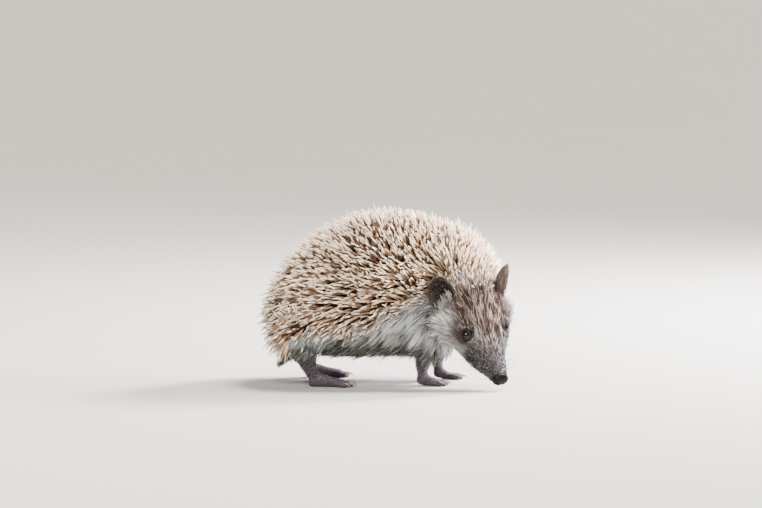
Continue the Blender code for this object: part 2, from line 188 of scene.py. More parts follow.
def closed(mesh):
    # points closer than 0.002 mm, as at the poles, are merged and faces turned outwards
    shape = bmesh.new()
    shape.from_mesh(mesh)
    bmesh.ops.remove_doubles(shape, verts=shape.verts, dist=0.002 * mm)
    bmesh.ops.recalc_face_normals(shape, faces=shape.faces)
    shape.to_mesh(mesh)
    shape.free()
    mesh.shade_smooth()
    return mesh


def addAttribute(mesh, name, values):
    # one number or one vector for each vertex
    kind, field = ("FLOAT", "value") if values.ndim == 1 else ("FLOAT_VECTOR", "vector")
    layer = mesh.attributes.new(name, kind, "POINT")
    layer.data.foreach_set(field, values.astype(np.float32).ravel())


# Where things are: the trunk's and the head's own frames, from the CAD boxes.

trunkLow, trunkHigh = (np.array(corner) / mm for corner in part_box("trunk"))
rump = np.array((trunkLow[0], (trunkLow[1] + trunkHigh[1]) / 2.0, 0.0))
upright = np.array((0.0, 0.0, 1.0))

eyeLeft, eyeRight, noseMiddle = (boxMiddle(node) for node in ("eye_left", "eye_right", "nose"))
brow = (eyeLeft + eyeRight) / 2.0
eyeHalf = np.linalg.norm(eyeLeft - eyeRight) / 2.0
noseAhead, noseBelow = 29.6, 9.6         # the nose pad's middle, from the point between the eyes
headLeft = unit(eyeLeft - eyeRight)
toNose = unit(noseMiddle - brow) * math.hypot(noseAhead, noseBelow)
crosswise = np.cross(toNose, headLeft)
headForward = unit(noseAhead * toNose + noseBelow * crosswise)
headAxes = np.array((headForward, headLeft, np.cross(headForward, headLeft)))


def inFrame(points, middle, axes):
    # the places along each of a frame's axes, one row for each axis
    return ((points - middle) @ axes.T).T


def toHead(points):
    # forward, left and up from the point between the eyes
    return inFrame(points, brow, headAxes)


def toTrunk(points):
    # ahead of the rump, left and up
    return (points - rump).T


# Materials: one class for sockets with maths, one for a material.

class Num:
    # a number socket; each operator adds one Math node
    def __init__(self, paint, socket):
        self.paint, self.socket = paint, socket

    def math(self, operation, *values):
        made = self.paint.node("ShaderNodeMath", {"operation": operation}, dict(enumerate(values)))
        return Num(self.paint, made.outputs[0])

    def __add__(self, other):
        return self.math("ADD", self, other)

    def __sub__(self, other):
        return self.math("SUBTRACT", self, other)

    def __rsub__(self, other):
        return self.math("SUBTRACT", other, self)

    def __mul__(self, other):
        return self.math("MULTIPLY", self, other)

    def __pow__(self, other):
        return self.math("POWER", self, other)

    def __abs__(self):
        return self.math("ABSOLUTE", self)

    __radd__, __rmul__ = __add__, __mul__

    def fraction(self):
        return self.math("FRACT", self)


class Paint:
    # a Principled material and the ways to add nodes to it
    def __init__(self, name, **uniform):
        self.material = bpy.data.materials.new(name)
        self.material.use_nodes = True
        self.tree = self.material.node_tree
        self.shader = self.tree.nodes["Principled BSDF"]
        for socket, value in uniform.items():
            self.shader.inputs[socket.replace("_", " ")].default_value = value

    def put(self, value, socket):
        # a number, a colour or a link into a socket
        value = value.socket if isinstance(value, Num) else value
        if isinstance(value, bpy.types.NodeSocket):
            self.tree.links.new(value, socket)
        else:
            socket.default_value = value

    def node(self, kind, settings=None, values=None):
        # a node of a kind, its settings first and then what goes into its sockets
        made = self.tree.nodes.new(kind)
        for name, value in (settings or {}).items():
            setattr(made, name, value)
        for name, value in (values or {}).items():
            self.put(value, made.inputs[name])
        return made

    def number(self, name):
        return Num(self, self.node("ShaderNodeAttribute", {"attribute_name": name}).outputs["Fac"])

    def spot(self, name=None):
        # the place on the piece, or what an attribute gives, in millimetres
        if name:
            place = self.node("ShaderNodeAttribute", {"attribute_name": name}).outputs["Vector"]
        else:
            place = self.node("ShaderNodeTexCoord").outputs["Object"]
        made = self.node("ShaderNodeVectorMath", {"operation": "SCALE"}, {0: place, "Scale": 1.0 / mm})
        return made.outputs[0]

    def squeezed(self, vector, sizes):
        # the place along each of the head's axes, times its size
        values = {k: self.dot(vector, axis) * size for k, (axis, size) in enumerate(zip(headAxes, sizes))}
        return self.node("ShaderNodeCombineXYZ", None, values).outputs[0]

    def dot(self, vector, axis):
        made = self.node("ShaderNodeVectorMath", {"operation": "DOT_PRODUCT"}, {0: vector, 1: tuple(axis)})
        return Num(self, made.outputs["Value"])

    def ease(self, value, low, high):
        # a smooth step from 0 at low to 1 at high, which may be the smaller of the two
        values = {"Value": value, "From Min": min(low, high), "From Max": max(low, high),
                  "To Min": float(low > high), "To Max": float(low < high)}
        made = self.node("ShaderNodeMapRange", {"interpolation_type": "SMOOTHSTEP"}, values)
        return Num(self, made.outputs[0])

    def noise(self, vector, scale, detail=2.0, roughness=0.5):
        values = {"Vector": vector, "Scale": scale, "Detail": detail, "Roughness": roughness}
        return Num(self, self.node("ShaderNodeTexNoise", None, values).outputs[0])

    def cells(self, vector, scale):
        values = {"Vector": vector, "Scale": scale}
        return Num(self, self.node("ShaderNodeTexVoronoi", None, values).outputs["Distance"])

    def mix(self, factor, a, b):
        return self.node("ShaderNodeMix", {"data_type": "RGBA"}, {0: factor, 6: a, 7: b}).outputs[2]

    def shaded(self, colour, amount):
        # the colour times a number
        grey = self.node("ShaderNodeCombineColor", None, {0: amount, 1: amount, 2: amount}).outputs[0]
        return self.node("ShaderNodeMix", {"data_type": "RGBA", "blend_type": "MULTIPLY"},
                         {0: 1.0, 6: colour, 7: grey}).outputs[2]

    def bump(self, height, distance, strength):
        values = {"Height": height, "Distance": distance, "Strength": strength}
        self.put(self.node("ShaderNodeBump", None, values).outputs[0], self.shader.inputs["Normal"])

    def colour(self, value):
        self.put(value, self.shader.inputs["Base Color"])

    def rough(self, value):
        self.put(value, self.shader.inputs["Roughness"])


def tone(red, green, blue):
    # an ordinary screen colour, 0 to 255, as the linear one that nodes take
    share = np.array((red, green, blue)) / 255.0
    linear = np.where(share <= 0.04045, share / 12.92, ((share + 0.055) / 1.055) ** 2.4)
    return (*linear.tolist(), 1.0)


# Markings, with painted shade on the belly and a painted highlight on the bridge of the nose: the same for
# the skin and for the fur that grows on it.

furTones = {
    "side": tone(238, 242, 238),
    # the belly: the underside fur's own darker tone, deepened with painted shade under the body
    "belly": tone(88, 84, 74),
    "forehead": tone(78, 53, 48),
    "streak": tone(240, 221, 206),
    "temple": tone(126, 109, 101),
    "cheek": tone(250, 246, 242),
    "muzzle": tone(34, 31, 34),
    "muzzleTip": tone(212, 208, 212),
    # bridge: a painted highlight along the top of the muzzle
    "bridge": tone(96, 82, 88),
    "eye": tone(44, 34, 30),
    "lip": tone(46, 38, 40),
    "limb": tone(88, 77, 84),
    "limbTip": tone(156, 146, 146),
    # under: the dark of the hair roots and of the skin between hairs, partly painted shade deep in the coat
    "under": tone(50, 42, 38),
    # spiny: the skin under the spines, its own brown darkened as painted shade between the spines
    "spiny": tone(70, 50, 36),
}


# Where each marking starts, where it is full, and how uneven its edge is, in millimetres: height above
# the floor, ahead of the rump, and forward, up and aside in the head's frame.
zones = {
    "headForward": (-30.0, -20.0, 8.0), "headAhead": (100.0, 112.0, 0.0), "headUp": (-42.0, -32.0, 0.0),
    # the dark belly, partly painted shade under the body: by height, and how far it reaches between the legs
    "bellyShadeHeight": (36.0, 22.0, 11.0), "bellyShadeHind": (34.0, 50.0, 0.0), "bellyShadeFore": (112.0, 92.0, 0.0),
    "cheekUp": (-24.0, -14.0, 0.0),
    "templeForward": (-22.0, -12.0, 8.0), "templeUp": (-5.0, 3.0, 8.0), "templeAside": (19.5, 12.5, 8.0),
    "templeBack": (-13.0, -19.0, 0.0),
    "roundEye": (12.0, 6.0, 6.0), "eyeEdge": (8.5, 5.0, 3.0), "eyeCorner": (5.5, 2.0, 0.0),
    "foreheadAside": (18.0, 12.0, 4.0), "foreheadUp": (-5.0, 1.0, 4.0),
    "muzzleForward": (3.0, 12.0, 6.0),
    # the painted highlight along the top of the muzzle
    "bridgeHighlightForward": (8.0, 16.0, 0.0), "bridgeHighlightUp": (-8.0, -3.0, 0.0), "bridgeHighlightAside": (5.0, 2.0, 0.0),
    "lipForward": (-2.0, 4.0, 0.0), "lipUp": (-20.0, -23.0, 0.0),
    "limbHeight": (21.0, 14.0, 12.0), "limbAhead": (15.0, 21.0, 0.0),
}
patchSize = 0.16                     # the scale of the noise that makes the edges uneven
cornerPlace = (6.0, 9.5, -3.0)       # the dark corner of the eye: forward, aside and up
bellyShadeDrop = 6.5                      # how much lower the dark belly starts between the legs; that dark is partly painted shade under the body
templeSpread = 6.0                   # how much wider a temple is at the back


def markings(paint, spot):
    # the coat's colour at a spot on the body: tones laid over one another, each by a product of smooth steps;
    # the dark belly carries painted shade and the bridge a painted highlight
    t = furTones
    forward, left, up = (paint.dot(spot, axis) - float(axis @ brow) for axis in headAxes)
    height = paint.dot(spot, upright)
    ahead = paint.dot(spot, (1.0, 0.0, 0.0)) - float(rump[0])
    aside = abs(left)
    patchy = paint.noise(spot, patchSize, 3.0) - 0.5

    def zone(name, value):
        start, full, uneven = zones[name]
        return paint.ease(value + patchy * uneven if uneven else value, start, full)

    near = zone("headForward", forward) * zone("headAhead", ahead) * zone("headUp", up)
    # the dark belly: partly the underside fur's own darker tone, partly painted shade under the body
    between = zone("bellyShadeHind", ahead) * zone("bellyShadeFore", ahead)
    low = zone("bellyShadeHeight", height - between * bellyShadeDrop)
    temple = near * zone("templeForward", forward + up * 0.8) * zone("templeUp", up)
    temple = temple * zone("templeAside", aside - zone("templeBack", forward) * templeSpread)
    gap = (forward * forward + (aside - eyeHalf) ** 2.0 + up * up) ** 0.5
    forehead = near * zone("foreheadAside", aside) * zone("foreheadUp", up)
    muzzle = near * zone("muzzleForward", forward - up * 0.25)
    # a painted highlight along the top of the muzzle, lighter than the muzzle's own dark fur
    bridge = zone("bridgeHighlightForward", forward) * zone("bridgeHighlightUp", up) * zone("bridgeHighlightAside", aside)
    lip = zone("lipForward", forward) * zone("lipUp", up - forward * 0.2)
    before, beside, above = (value - place for value, place in zip((forward, aside, up), cornerPlace))
    corner = zone("eyeCorner", (before ** 2.0 + beside ** 2.0 * 2.0 + above ** 2.0) ** 0.5)
    limb = zone("limbHeight", height) * zone("limbAhead", ahead) * (1.0 - near)
    colour = t["side"]
    for share, name in (
            (low, "belly"), (near * zone("cheekUp", up), "cheek"), (temple, "temple"),
            (near * zone("roundEye", gap) * 0.8, "temple"), (forehead, "forehead"), (muzzle, "muzzle"),
            (bridge * 0.7, "bridge"), (lip * 0.6, "lip"), (zone("eyeEdge", gap) * 0.9, "eye"),
            (corner * 0.6, "eye"), (limb, "limb")):
        colour = paint.mix(share, colour, t[name])
    # where the belly's painted shade lies, off the head and the limbs
    belly = low * (1.0 - near) * (1.0 - limb)
    return colour, {"forehead": forehead, "muzzle": muzzle, "limb": limb, "belly": belly}


# The skin: lofts inside the coat, fused into one form, smoothed and modelled.

# Rows: along, left, up, half width, height above and depth below.
trunkRows = (
    (12.5, 0.0, 42.0, 0.0, 0.0, 0.0),
    (14.2, 0.0, 42.0, 9.0, 9.0, 8.0),
    (20.0, 0.0, 42.0, 20.5, 21.0, 15.5),
    (29.5, 0.0, 42.0, 30.0, 32.5, 20.0),
    (42.0, 0.0, 42.5, 36.5, 42.0, 22.0),
    (58.0, 0.0, 43.0, 40.0, 49.5, 22.0),
    (76.0, 0.0, 43.5, 40.5, 53.0, 22.0),
    (93.0, -0.5, 44.5, 37.5, 50.5, 22.0),
    (107.0, -2.5, 46.0, 31.0, 46.0, 21.5),
    (118.0, -5.5, 48.5, 21.0, 35.5, 20.0),
    (125.0, -8.0, 51.0, 9.0, 18.0, 12.0),
    (127.0, -9.0, 53.0, 0.0, 0.0, 0.0),
)
neckPlace = (119.5, -12.0, 60.0)         # in the trunk's frame
neckForward = (0.75, -0.62, -0.22)
neckRows = (
    (-30.0, 0.0, 0.0, 0.0, 0.0, 0.0),
    (-28.0, 0.0, 0.0, 13.0, 16.0, 14.0),
    (-20.0, 0.0, 0.0, 20.5, 26.5, 22.0),
    (-6.0, 0.0, 0.0, 24.5, 27.5, 29.0),
    (8.0, 0.0, -1.0, 22.0, 21.5, 28.5),
    (18.0, 0.0, -3.0, 17.5, 16.5, 22.0),
    (25.0, 0.0, -5.0, 10.0, 10.5, 13.0),
    (28.0, 0.0, -6.0, 0.0, 0.0, 0.0),
)
headRows = (
    (-35.0, 0.0, -4.0, 0.0, 0.0, 0.0),
    (-33.0, 0.0, -4.0, 11.0, 12.0, 10.0),
    (-28.0, 0.0, -4.0, 19.0, 18.5, 16.5),
    (-20.5, 0.0, -4.5, 22.4, 18.8, 19.0),
    (-12.5, 0.0, -5.5, 21.2, 16.2, 18.6),
    (-4.0, 0.0, -6.5, 17.6, 13.2, 15.6),
    (4.0, 0.0, -7.5, 13.8, 10.4, 11.8),
    (12.0, 0.0, -8.3, 10.3, 7.4, 8.4),
    (19.5, 0.0, -9.0, 7.8, 5.3, 6.2),
    (26.0, 0.0, -9.5, 5.9, 4.3, 4.7),
    (28.6, 0.0, -9.8, 4.7, 3.6, 3.6),
    (29.8, 0.0, -9.8, 0.0, 0.0, 0.0),
)
jawRows = (
    (-16.0, 0.0, -16.5, 0.0, 0.0, 0.0),
    (-13.5, 0.0, -16.5, 8.0, 4.5, 6.5),
    (-6.0, 0.0, -16.8, 12.2, 7.0, 9.0),
    (4.0, 0.0, -16.3, 11.5, 6.6, 7.6),
    (13.0, 0.0, -15.2, 8.8, 5.4, 6.1),
    (20.0, 0.0, -13.8, 6.1, 3.9, 4.5),
    (24.6, 0.0, -12.6, 4.0, 2.7, 3.0),
    (26.3, 0.0, -12.0, 0.0, 0.0, 0.0),
)
tailPlace = (19.5, 0.0, 19.0)
tailForward = (-1.0, 0.0, -0.9)
tailRows = (
    (-12.0, 0.0, 0.0, 0.0, 0.0, 0.0),
    (-10.0, 0.0, 0.0, 4.0, 4.0, 4.0),
    (0.0, 0.0, 0.0, 3.3, 3.3, 3.3),
    (7.0, 0.0, 0.0, 2.3, 2.3, 2.3),
    (11.0, 0.0, 0.0, 1.2, 1.2, 1.2),
    (12.0, 0.0, 0.0, 0.0, 0.0, 0.0),
)
hind = {
    "turn": {"hind_right": -7.0, "hind_left": 9.0},
    "heel": 4.0, "halfLength": 11.5, "lean": 0.36, "toeRoot": 16.5,
    "sole": (
        (-4.3, 0.0, 4.2, 0.0, 0.0, 0.0),
        (-3.5, 0.0, 4.2, 2.3, 2.9, 4.2),
        (0.5, 0.0, 4.3, 3.7, 4.5, 5.0),
        (8.0, 0.0, 3.7, 4.0, 3.2, 4.4),
        (15.0, 0.0, 2.9, 4.9, 2.4, 3.6),
        (18.3, 0.0, 2.5, 4.5, 1.8, 3.2),
        (19.6, 0.0, 2.4, 0.0, 0.0, 0.0),
    ),
    "leg": (
        (-6.0, 0.0, 0.0, 0.0, 0.0, 0.0),
        (-4.0, 0.0, 1.0, 6.0, 10.0, 8.0),
        (4.0, 0.0, 2.0, 7.5, 13.0, 10.0),
        (12.0, 0.0, 1.0, 6.4, 9.5, 8.6),
        (19.0, 0.0, 0.0, 4.6, 5.8, 6.0),
        (25.0, 0.0, -0.4, 3.4, 3.8, 3.8),
        (30.0, 0.0, 0.0, 2.8, 3.0, 3.0),
        (32.0, 0.0, 0.0, 0.0, 0.0, 0.0),
    ),
}
fore = {
    "turn": {"front_right": -6.0, "front_left": 4.0},
    "heel": 3.5, "halfLength": 8.1, "lean": -0.1, "toeRoot": 9.5,
    "sole": (
        (-3.8, 0.0, 4.0, 0.0, 0.0, 0.0),
        (-3.0, 0.0, 4.0, 2.3, 2.7, 4.0),
        (0.5, 0.0, 3.9, 3.7, 3.9, 4.7),
        (5.0, 0.0, 3.3, 4.5, 2.9, 4.1),
        (9.0, 0.0, 2.7, 4.9, 2.2, 3.5),
        (11.2, 0.0, 2.4, 4.3, 1.6, 3.0),
        (12.6, 0.0, 2.4, 0.0, 0.0, 0.0),
    ),
    "leg": (
        (-8.0, 0.0, 0.0, 0.0, 0.0, 0.0),
        (-6.0, 0.0, 0.0, 6.0, 7.0, 7.0),
        (2.0, 0.0, 0.0, 7.4, 8.6, 8.6),
        (12.0, 0.0, 0.0, 6.0, 6.8, 6.8),
        (20.0, 0.0, 0.0, 3.9, 4.2, 4.2),
        (28.0, 0.0, 0.0, 2.9, 3.1, 3.1),
        (31.0, 0.0, 0.0, 0.0, 0.0, 0.0),
    ),
}
toeRows = (
    (-3.5, 0.0, 2.0, 0.0, 0.0, 0.0),
    (-2.8, 0.0, 2.0, 1.0, 1.1, 1.3),
    (1.5, 0.0, 2.1, 1.15, 1.5, 2.1),
    (4.4, 0.0, 1.8, 1.3, 1.35, 1.8),
    (6.2, 0.0, 1.6, 1.0, 1.0, 1.5),
    (6.8, 0.0, 1.5, 0.0, 0.0, 0.0),
)
toes = {"count": 5, "fan": 13.6, "spacing": 2.1, "setBack": 0.55}
legHeight, ankleHeight = 35.0, 4.0

skinForm = {
    "voxel": 0.82,          # the size of the cells that fuse the lofts
    "evenRounds": 8,        # smoothing that takes the cells' steps away
    "grow": 0.52,           # and how far out it goes again
    "joinRounds": 90,       # smoothing where one form runs into the next
    # where that is: behind the head, under the jaw, and at the height where the legs join the trunk
    "nape": (-12.0, -22.0), "napeAhead": (92.0, 104.0),
    "jaw": (-2.0, 16.0), "jawUp": (-10.0, -14.0),
    "hips": (22.0, 5.5),
}


def feetPlaces():
    # each foot's kind, ankle and axes, from its CAD box
    places = {}
    for kind in (hind, fore):
        for name, turn in kind["turn"].items():
            low, high = (np.array(corner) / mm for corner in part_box("foot_" + name))
            angle = math.radians(turn)
            across = (low[1] + high[1]) / 2.0 - math.sin(angle) * kind["halfLength"]
            ankle = np.array((low[0] + kind["heel"], across, 0.0))
            axes = turnedAxes((math.cos(angle), math.sin(angle), 0.0), upright)
            places[name] = (kind, ankle, axes)
    return places


def toePlaces(kind, ankle, axes):
    # the root and the axes of each toe: they fan out from the front of the sole
    made = []
    for number in range(toes["count"]):
        step = number - (toes["count"] - 1) / 2.0
        angle = math.radians(toes["fan"] * step)
        own = turnedAxes((math.cos(angle), math.sin(angle), 0.0), upright) @ axes
        root = np.array((kind["toeRoot"] - toes["setBack"] * step ** 2, toes["spacing"] * step, 0.0))
        made.append((root @ axes + ankle, own))
    return made


def skinLofts():
    # trunk, neck, head, jaw and tail, then each foot and its leg, which runs down from the hip
    shapes = [
        loft(trunkRows, rump, np.eye(3), 70, 72),
        loft(neckRows, rump + neckPlace, turnedAxes(neckForward, upright), 46, 56),
        loft(headRows, brow, headAxes, 60, 56),
        loft(jawRows, brow, headAxes, 30, 32),
        loft(tailRows, rump + tailPlace, turnedAxes(tailForward, upright), 24, 20),
    ]
    for kind, ankle, axes in feetPlaces().values():
        lean = kind["lean"]
        hip = ankle + np.array((-lean * (legHeight - ankleHeight), 0.0, legHeight))
        shapes.append(loft(kind["sole"], ankle, axes, 36, 28))
        shapes.append(loft(kind["leg"], hip, turnedAxes((lean, 0.0, -1.0), (1.0, 0.0, 0.0)), 36, 28))
    return joined(shapes)


def fuse(points, faces):
    # a voxel remesh makes one closed skin of all the forms
    lump = bpy.data.objects.new("lump", meshFrom("lump", points, faces))
    bpy.context.scene.collection.objects.link(lump)
    remesh = lump.modifiers.new("fuse", "REMESH")
    remesh.mode = "VOXEL"
    remesh.voxel_size = skinForm["voxel"] * mm
    made = bpy.data.meshes.new_from_object(lump.evaluated_get(bpy.context.evaluated_depsgraph_get()))
    bpy.data.objects.remove(lump)
    points = np.empty(len(made.vertices) * 3, np.float32)
    made.vertices.foreach_get("co", points)
    quads = np.empty(len(made.loops), np.int32)
    made.loops.foreach_get("vertex_index", quads)
    bpy.data.meshes.remove(made)
    return points.reshape(-1, 3).astype(float) / mm, quads.reshape(-1, 4)


def neighbours(faces):
    # the two ends of every edge, each edge once
    ends = np.vstack([faces[:, [k, (k + 1) % faces.shape[1]]] for k in range(faces.shape[1])])
    return np.unique(np.sort(ends, 1), axis=0)


def smoothed(points, edges, weight, rounds, grow=0.0):
    # p moves half way to the mean of its neighbours, times the weight, then out again by grow
    a, b = edges.T
    size = len(points)
    count = np.bincount(edges.ravel(), minlength=size)[:, None]
    for step in range(rounds):
        share = 0.5 if step % 2 == 0 or grow == 0.0 else -grow
        total = np.empty_like(points)
        for k in range(3):
            total[:, k] = np.bincount(a, points[b, k], size) + np.bincount(b, points[a, k], size)
        points = points + share * weight[:, None] * (total / count - points)
    return points


def vertexNormals(points, quads):
    # the sum of the cross products of each quad's diagonals
    normal = np.cross(points[quads[:, 2]] - points[quads[:, 0]], points[quads[:, 3]] - points[quads[:, 1]])
    total = np.empty_like(points)
    for k in range(3):
        total[:, k] = np.bincount(quads.ravel(), np.repeat(normal[:, k], 4), len(points))
    return unit(total)


eyeForm = {
    "outward": (0.34, 0.86, 0.36),      # the way the left eye looks, in the head's frame
    "sunk": {"left": 0.9, "right": 0.0},     # how much deeper it lies than the CAD's eye
    "radius": 3.38, "cornea": 0.22, "corneaWidth": 0.6,
    "opening": (3.42, 3.2),             # half the width and height between the lids
    "widest": 3.58, "lidRadius": 3.72, "corners": 0.05,
    "moundHeight": 1.1, "moundAt": 5.0, "moundWidth": 1.9,    # the ring of skin round the eye
    "socketDepth": 2.0, "socket": (3.6, 2.2),
    "rings": 33, "sides": 48,
}


def eyeFrames():
    # each eye's middle and axes: outward, towards the nose, and up
    made = {}
    for side, name in ((1.0, "left"), (-1.0, "right")):
        outward = unit(np.array(eyeForm["outward"]) * (1.0, side, 1.0)) @ headAxes
        forward = unit(headAxes[0] - (headAxes[0] @ outward) * outward)
        middle = boxMiddle("eye_" + name) - outward * eyeForm["sunk"][name]
        made[name] = (middle, np.array((outward, forward, np.cross(outward, forward) * side)))
    return made


faceForm = {
    # each row: height, then the middle and the width of its bell curve forward and aside; last, for a
    # mound its bell curve upwards, and for a ridge where it begins and where it is full
    "mounds": (
        (0.6, (17.0, 5.0), (7.0, 2.6), (-12.0, 3.0)),       # the whisker pads
        (0.8, (-4.5, 4.0), (9.5, 3.0), (5.5, 3.0)),         # the brows
    ),
    "ridges": (
        (1.0, (2.0, 9.0), (0.0, 5.0), (-3.0, 0.0)),         # the bridge of the nose
        (1.0, (2.0, 6.0), (6.0, 2.6), (-4.0, 0.0)),         # between the bridge and the eyes
    ),
    "mouthUp": -15.0, "mouthSlope": 0.16, "mouthFront": 22.0, "mouthBend": 1.6, "mouthDepth": 0.8,
    "lipHeight": 0.45, "lipAbove": 1.7,
}


def modelFace(points, normals):
    # mounds, ridges and the groove of the mouth, along the normals: each is a height times
    # exp(-((x - m) / w)²) each way; then a ring round each eye and the socket within it
    form = faceForm
    forward, left, up = toHead(points)
    aside = np.abs(left)
    lift = np.zeros(len(points))
    for height, along, across, over in form["mounds"]:
        lift += height * hump(forward, *along) * hump(aside, *across) * hump(up, *over)
    for height, along, across, over in form["ridges"]:
        lift += height * hump(aside, *across) * hump(forward, *along) * ease(up, *over)
    mouth = form["mouthUp"] - form["mouthSlope"] * (form["mouthFront"] - forward)
    mouth = mouth + form["mouthBend"] * hump(forward, -3.0, 3.0)
    lift -= form["mouthDepth"] * hump(up, mouth, 0.75) * ease(forward, -6.0, -3.0) * ease(aside, 1.0, 2.5)
    lift += form["lipHeight"] * hump(up, mouth + form["lipAbove"], 1.2) * ease(forward, -4.0, 2.0)
    points = points + (lift * ease(forward, -16.0, -8.0))[:, None] * normals
    for middle, axes in eyeFrames().values():
        out, ahead, over = inFrame(points, middle, axes)
        reach = np.hypot(ahead, over)
        rise = eyeForm["moundHeight"] * hump(reach, eyeForm["moundAt"], eyeForm["moundWidth"])
        rise -= eyeForm["socketDepth"] * ease(reach, *eyeForm["socket"])
        points = points + (rise * ease(out, -3.0, 0.0))[:, None] * axes[0]
    return points


earForm = {
    "middle": (-26.2, 20.8, 10.5), "along": (-0.36, 0.05, 0.92), "out": (0.62, 0.76, 0.18),
    "turn": {1.0: 9.0, -1.0: 0.0},      # the left ear is turned a little more to the side
    "length": 25.2, "width": 19.4, "depth": 4.8, "wall": 1.15,
    "rim": 0.55, "twist": 0.35, "folds": (1.1, 0.8),      # heights on the edge and inside the hollow
    "rings": 26, "sides": 56,
}


def earFrame(side):
    # the ear's middle, and its axes out of the hollow, across it, and along it to the tip
    mirror = np.array((1.0, side, 1.0))
    along = unit(earForm["along"] * mirror)
    across = unit(np.cross(along, earForm["out"] * mirror))
    out = np.cross(across, along)
    angle = math.radians(earForm["turn"][side])
    turnedOut = out * math.cos(angle) + across * math.sin(angle)
    turnedAcross = across * math.cos(angle) - out * math.sin(angle)
    axes = np.array((turnedOut, turnedAcross, along)) @ headAxes
    return (earForm["middle"] * mirror) @ headAxes + brow, axes


def fromEar(points, side):
    # how far out of an ear's plane the points lie, and how far from its middle, with 1 at its outline
    out, across, along = inFrame(points, *earFrame(side))
    return out, np.hypot(across / earForm["width"], along / earForm["length"]) * 2.0


def earShape(side):
    # leaf(r, a) = (-depth (1 - r²) + folds, r w cos a, r l sin a); s runs 0 to 1 in front and 1 to 2 behind
    form = earForm
    middle, axes = earFrame(side)
    s = np.linspace(0.0, 2.0, form["rings"] * 2 + 1)[:, None]
    turn = around(form["sides"])
    front = s <= 1.0
    r = 1.0 - np.abs(1.0 - s)
    c, v = np.cos(turn) * side, np.sin(turn)
    outline = 1.0 - 0.05 * v + 0.02 * np.cos(3.0 * turn + 0.6)
    across = r * outline * np.cos(turn) * form["width"] / 2.0
    along = r * outline * v * form["length"] / 2.0
    depth = -form["depth"] * (1.0 - r ** 2)
    depth = depth + form["rim"] * hump(r, 0.93, 0.09) + form["twist"] * ease(r, 0.8, 1.0) * np.cos(turn * 2.0)
    fold = form["folds"][0] * hump(r * v, -0.35 + 0.3 * r * c, 0.10) * hump(r * c, 0.25, 0.35)
    fold = fold + form["folds"][1] * hump(r * v, 0.15 - 0.4 * r * c, 0.09) * hump(r * c, 0.1, 0.4)
    wall = np.sqrt(np.maximum(1.0 - r ** 10, 0.0)) * form["wall"] / 2.0
    depth = depth + np.where(front, wall + fold, -wall * (1.0 + 0.5 * (1.0 - r)))
    hollow = np.broadcast_to(np.where(front, 1.0 - 0.35 * r, 0.0), (len(s), form["sides"])).ravel()
    return gridPoints(depth, across, along) @ axes + middle, gridFaces(len(s), form["sides"]), hollow


def makeSkin():
    # the fused lofts, smoothed all over and more at the joins, with the face, the toes and the ears
    form = skinForm
    points, quads = fuse(*skinLofts())
    edges = neighbours(quads)
    points = smoothed(points, edges, np.ones(len(points)), form["evenRounds"], form["grow"])
    forward, left, up = toHead(points)
    nape = ease(forward, *form["nape"]) * ease(toTrunk(points)[0], *form["napeAhead"])
    jaw = hump(forward, *form["jaw"]) * ease(up, *form["jawUp"]) * 0.5
    hips = hump(points[:, 2], *form["hips"])
    weight = np.clip(np.maximum(np.maximum(nape, jaw), hips), 0.0, 1.0)
    points = smoothed(points, edges, weight, form["joinRounds"])
    points = modelFace(points, vertexNormals(points, quads))
    points[:, 2] = np.maximum(points[:, 2], 0.0)
    shapes = [(points, quads)]
    for kind, ankle, axes in feetPlaces().values():
        shapes.extend(loft(toeRows, root, own, 18, 12) for root, own in toePlaces(kind, ankle, axes))
    points, quads = joined(shapes)
    ears = [earShape(side) for side in bothSides]
    bare = np.zeros(len(points))
    hollow = np.concatenate([bare] + [ear[2] for ear in ears])
    isEar = np.concatenate([bare] + [np.ones(len(ear[2])) for ear in ears])
    points, quads = joined([(points, quads)] + [ear[:2] for ear in ears])
    mesh = meshFrom("skin", points, quads)
    addAttribute(mesh, "hollow", hollow)
    addAttribute(mesh, "ear", isEar)
    return closed(mesh)


skinLook = {
    # inside the ear's hollow its dark skin is darkened with painted shade, nearly black deepest in it
    "earBack": tone(112, 96, 90), "earInside": tone(30, 24, 20), "earHollowShade": tone(6, 5, 5),
    "grain": 1.6, "pores": 1.5, "folds": 0.9, "bump": 0.0006,
}


def skinPaint():
    # bare skin: the markings, darker (partly painted shade between the hairs) and with pores; ears and limbs
    # have their own tones, the ears with painted shade deep in the hollow
    paint = Paint("bareSkin", Specular_IOR_Level=0.25, Subsurface_Weight=0.05, Subsurface_Scale=0.002)
    look, spot = skinLook, paint.spot()
    colour, share = markings(paint, spot)
    grain = paint.noise(spot, look["grain"], 4.0)
    # the skin darker wherever fur grows: its own tone under the fur, and painted shade in the gaps between
    # hairs
    colour = paint.mix((1.0 - share["limb"]) * 0.75, colour, furTones["under"])
    # under the spines the skin takes the dark spiny tone: its own brown, darkened as painted shade between
    # the spines
    colour = paint.mix(paint.number("spiny"), colour, furTones["spiny"])
    colour = paint.shaded(colour, grain * 0.5 + 0.45)
    ear, hollow = paint.number("ear"), paint.number("hollow")
    # the hollow's dark skin, darkened further with painted shade
    earTone = paint.mix(paint.ease(hollow, 0.0, 0.66), look["earBack"], look["earInside"])
    # nearly black deep in the hollow: painted shade
    earTone = paint.mix(paint.ease(hollow, 0.68, 0.86) * 0.95, earTone, look["earHollowShade"])
    paint.colour(paint.mix(ear, colour, paint.shaded(earTone, grain * 0.6 + 0.7)))
    paint.rough(ear * 0.14 + grain * 0.1 + 0.66)
    pores = paint.cells(spot, look["pores"])
    paint.bump(pores * 0.5 + paint.noise(spot, look["folds"], 4.0, 0.65), look["bump"], 0.8)
    return paint.material


skinMesh = makeSkin()
skin = addPiece("skin", skinMesh, skinPaint())
limbNodes = [part + "_" + name for name in feetPlaces() for part in ("leg", "foot")]
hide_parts("trunk", "neck", "head", "tail", "ear_left", "ear_right", *limbNodes)
print("skin:", len(skinMesh.vertices), "vertices")


# The lie of the coat.

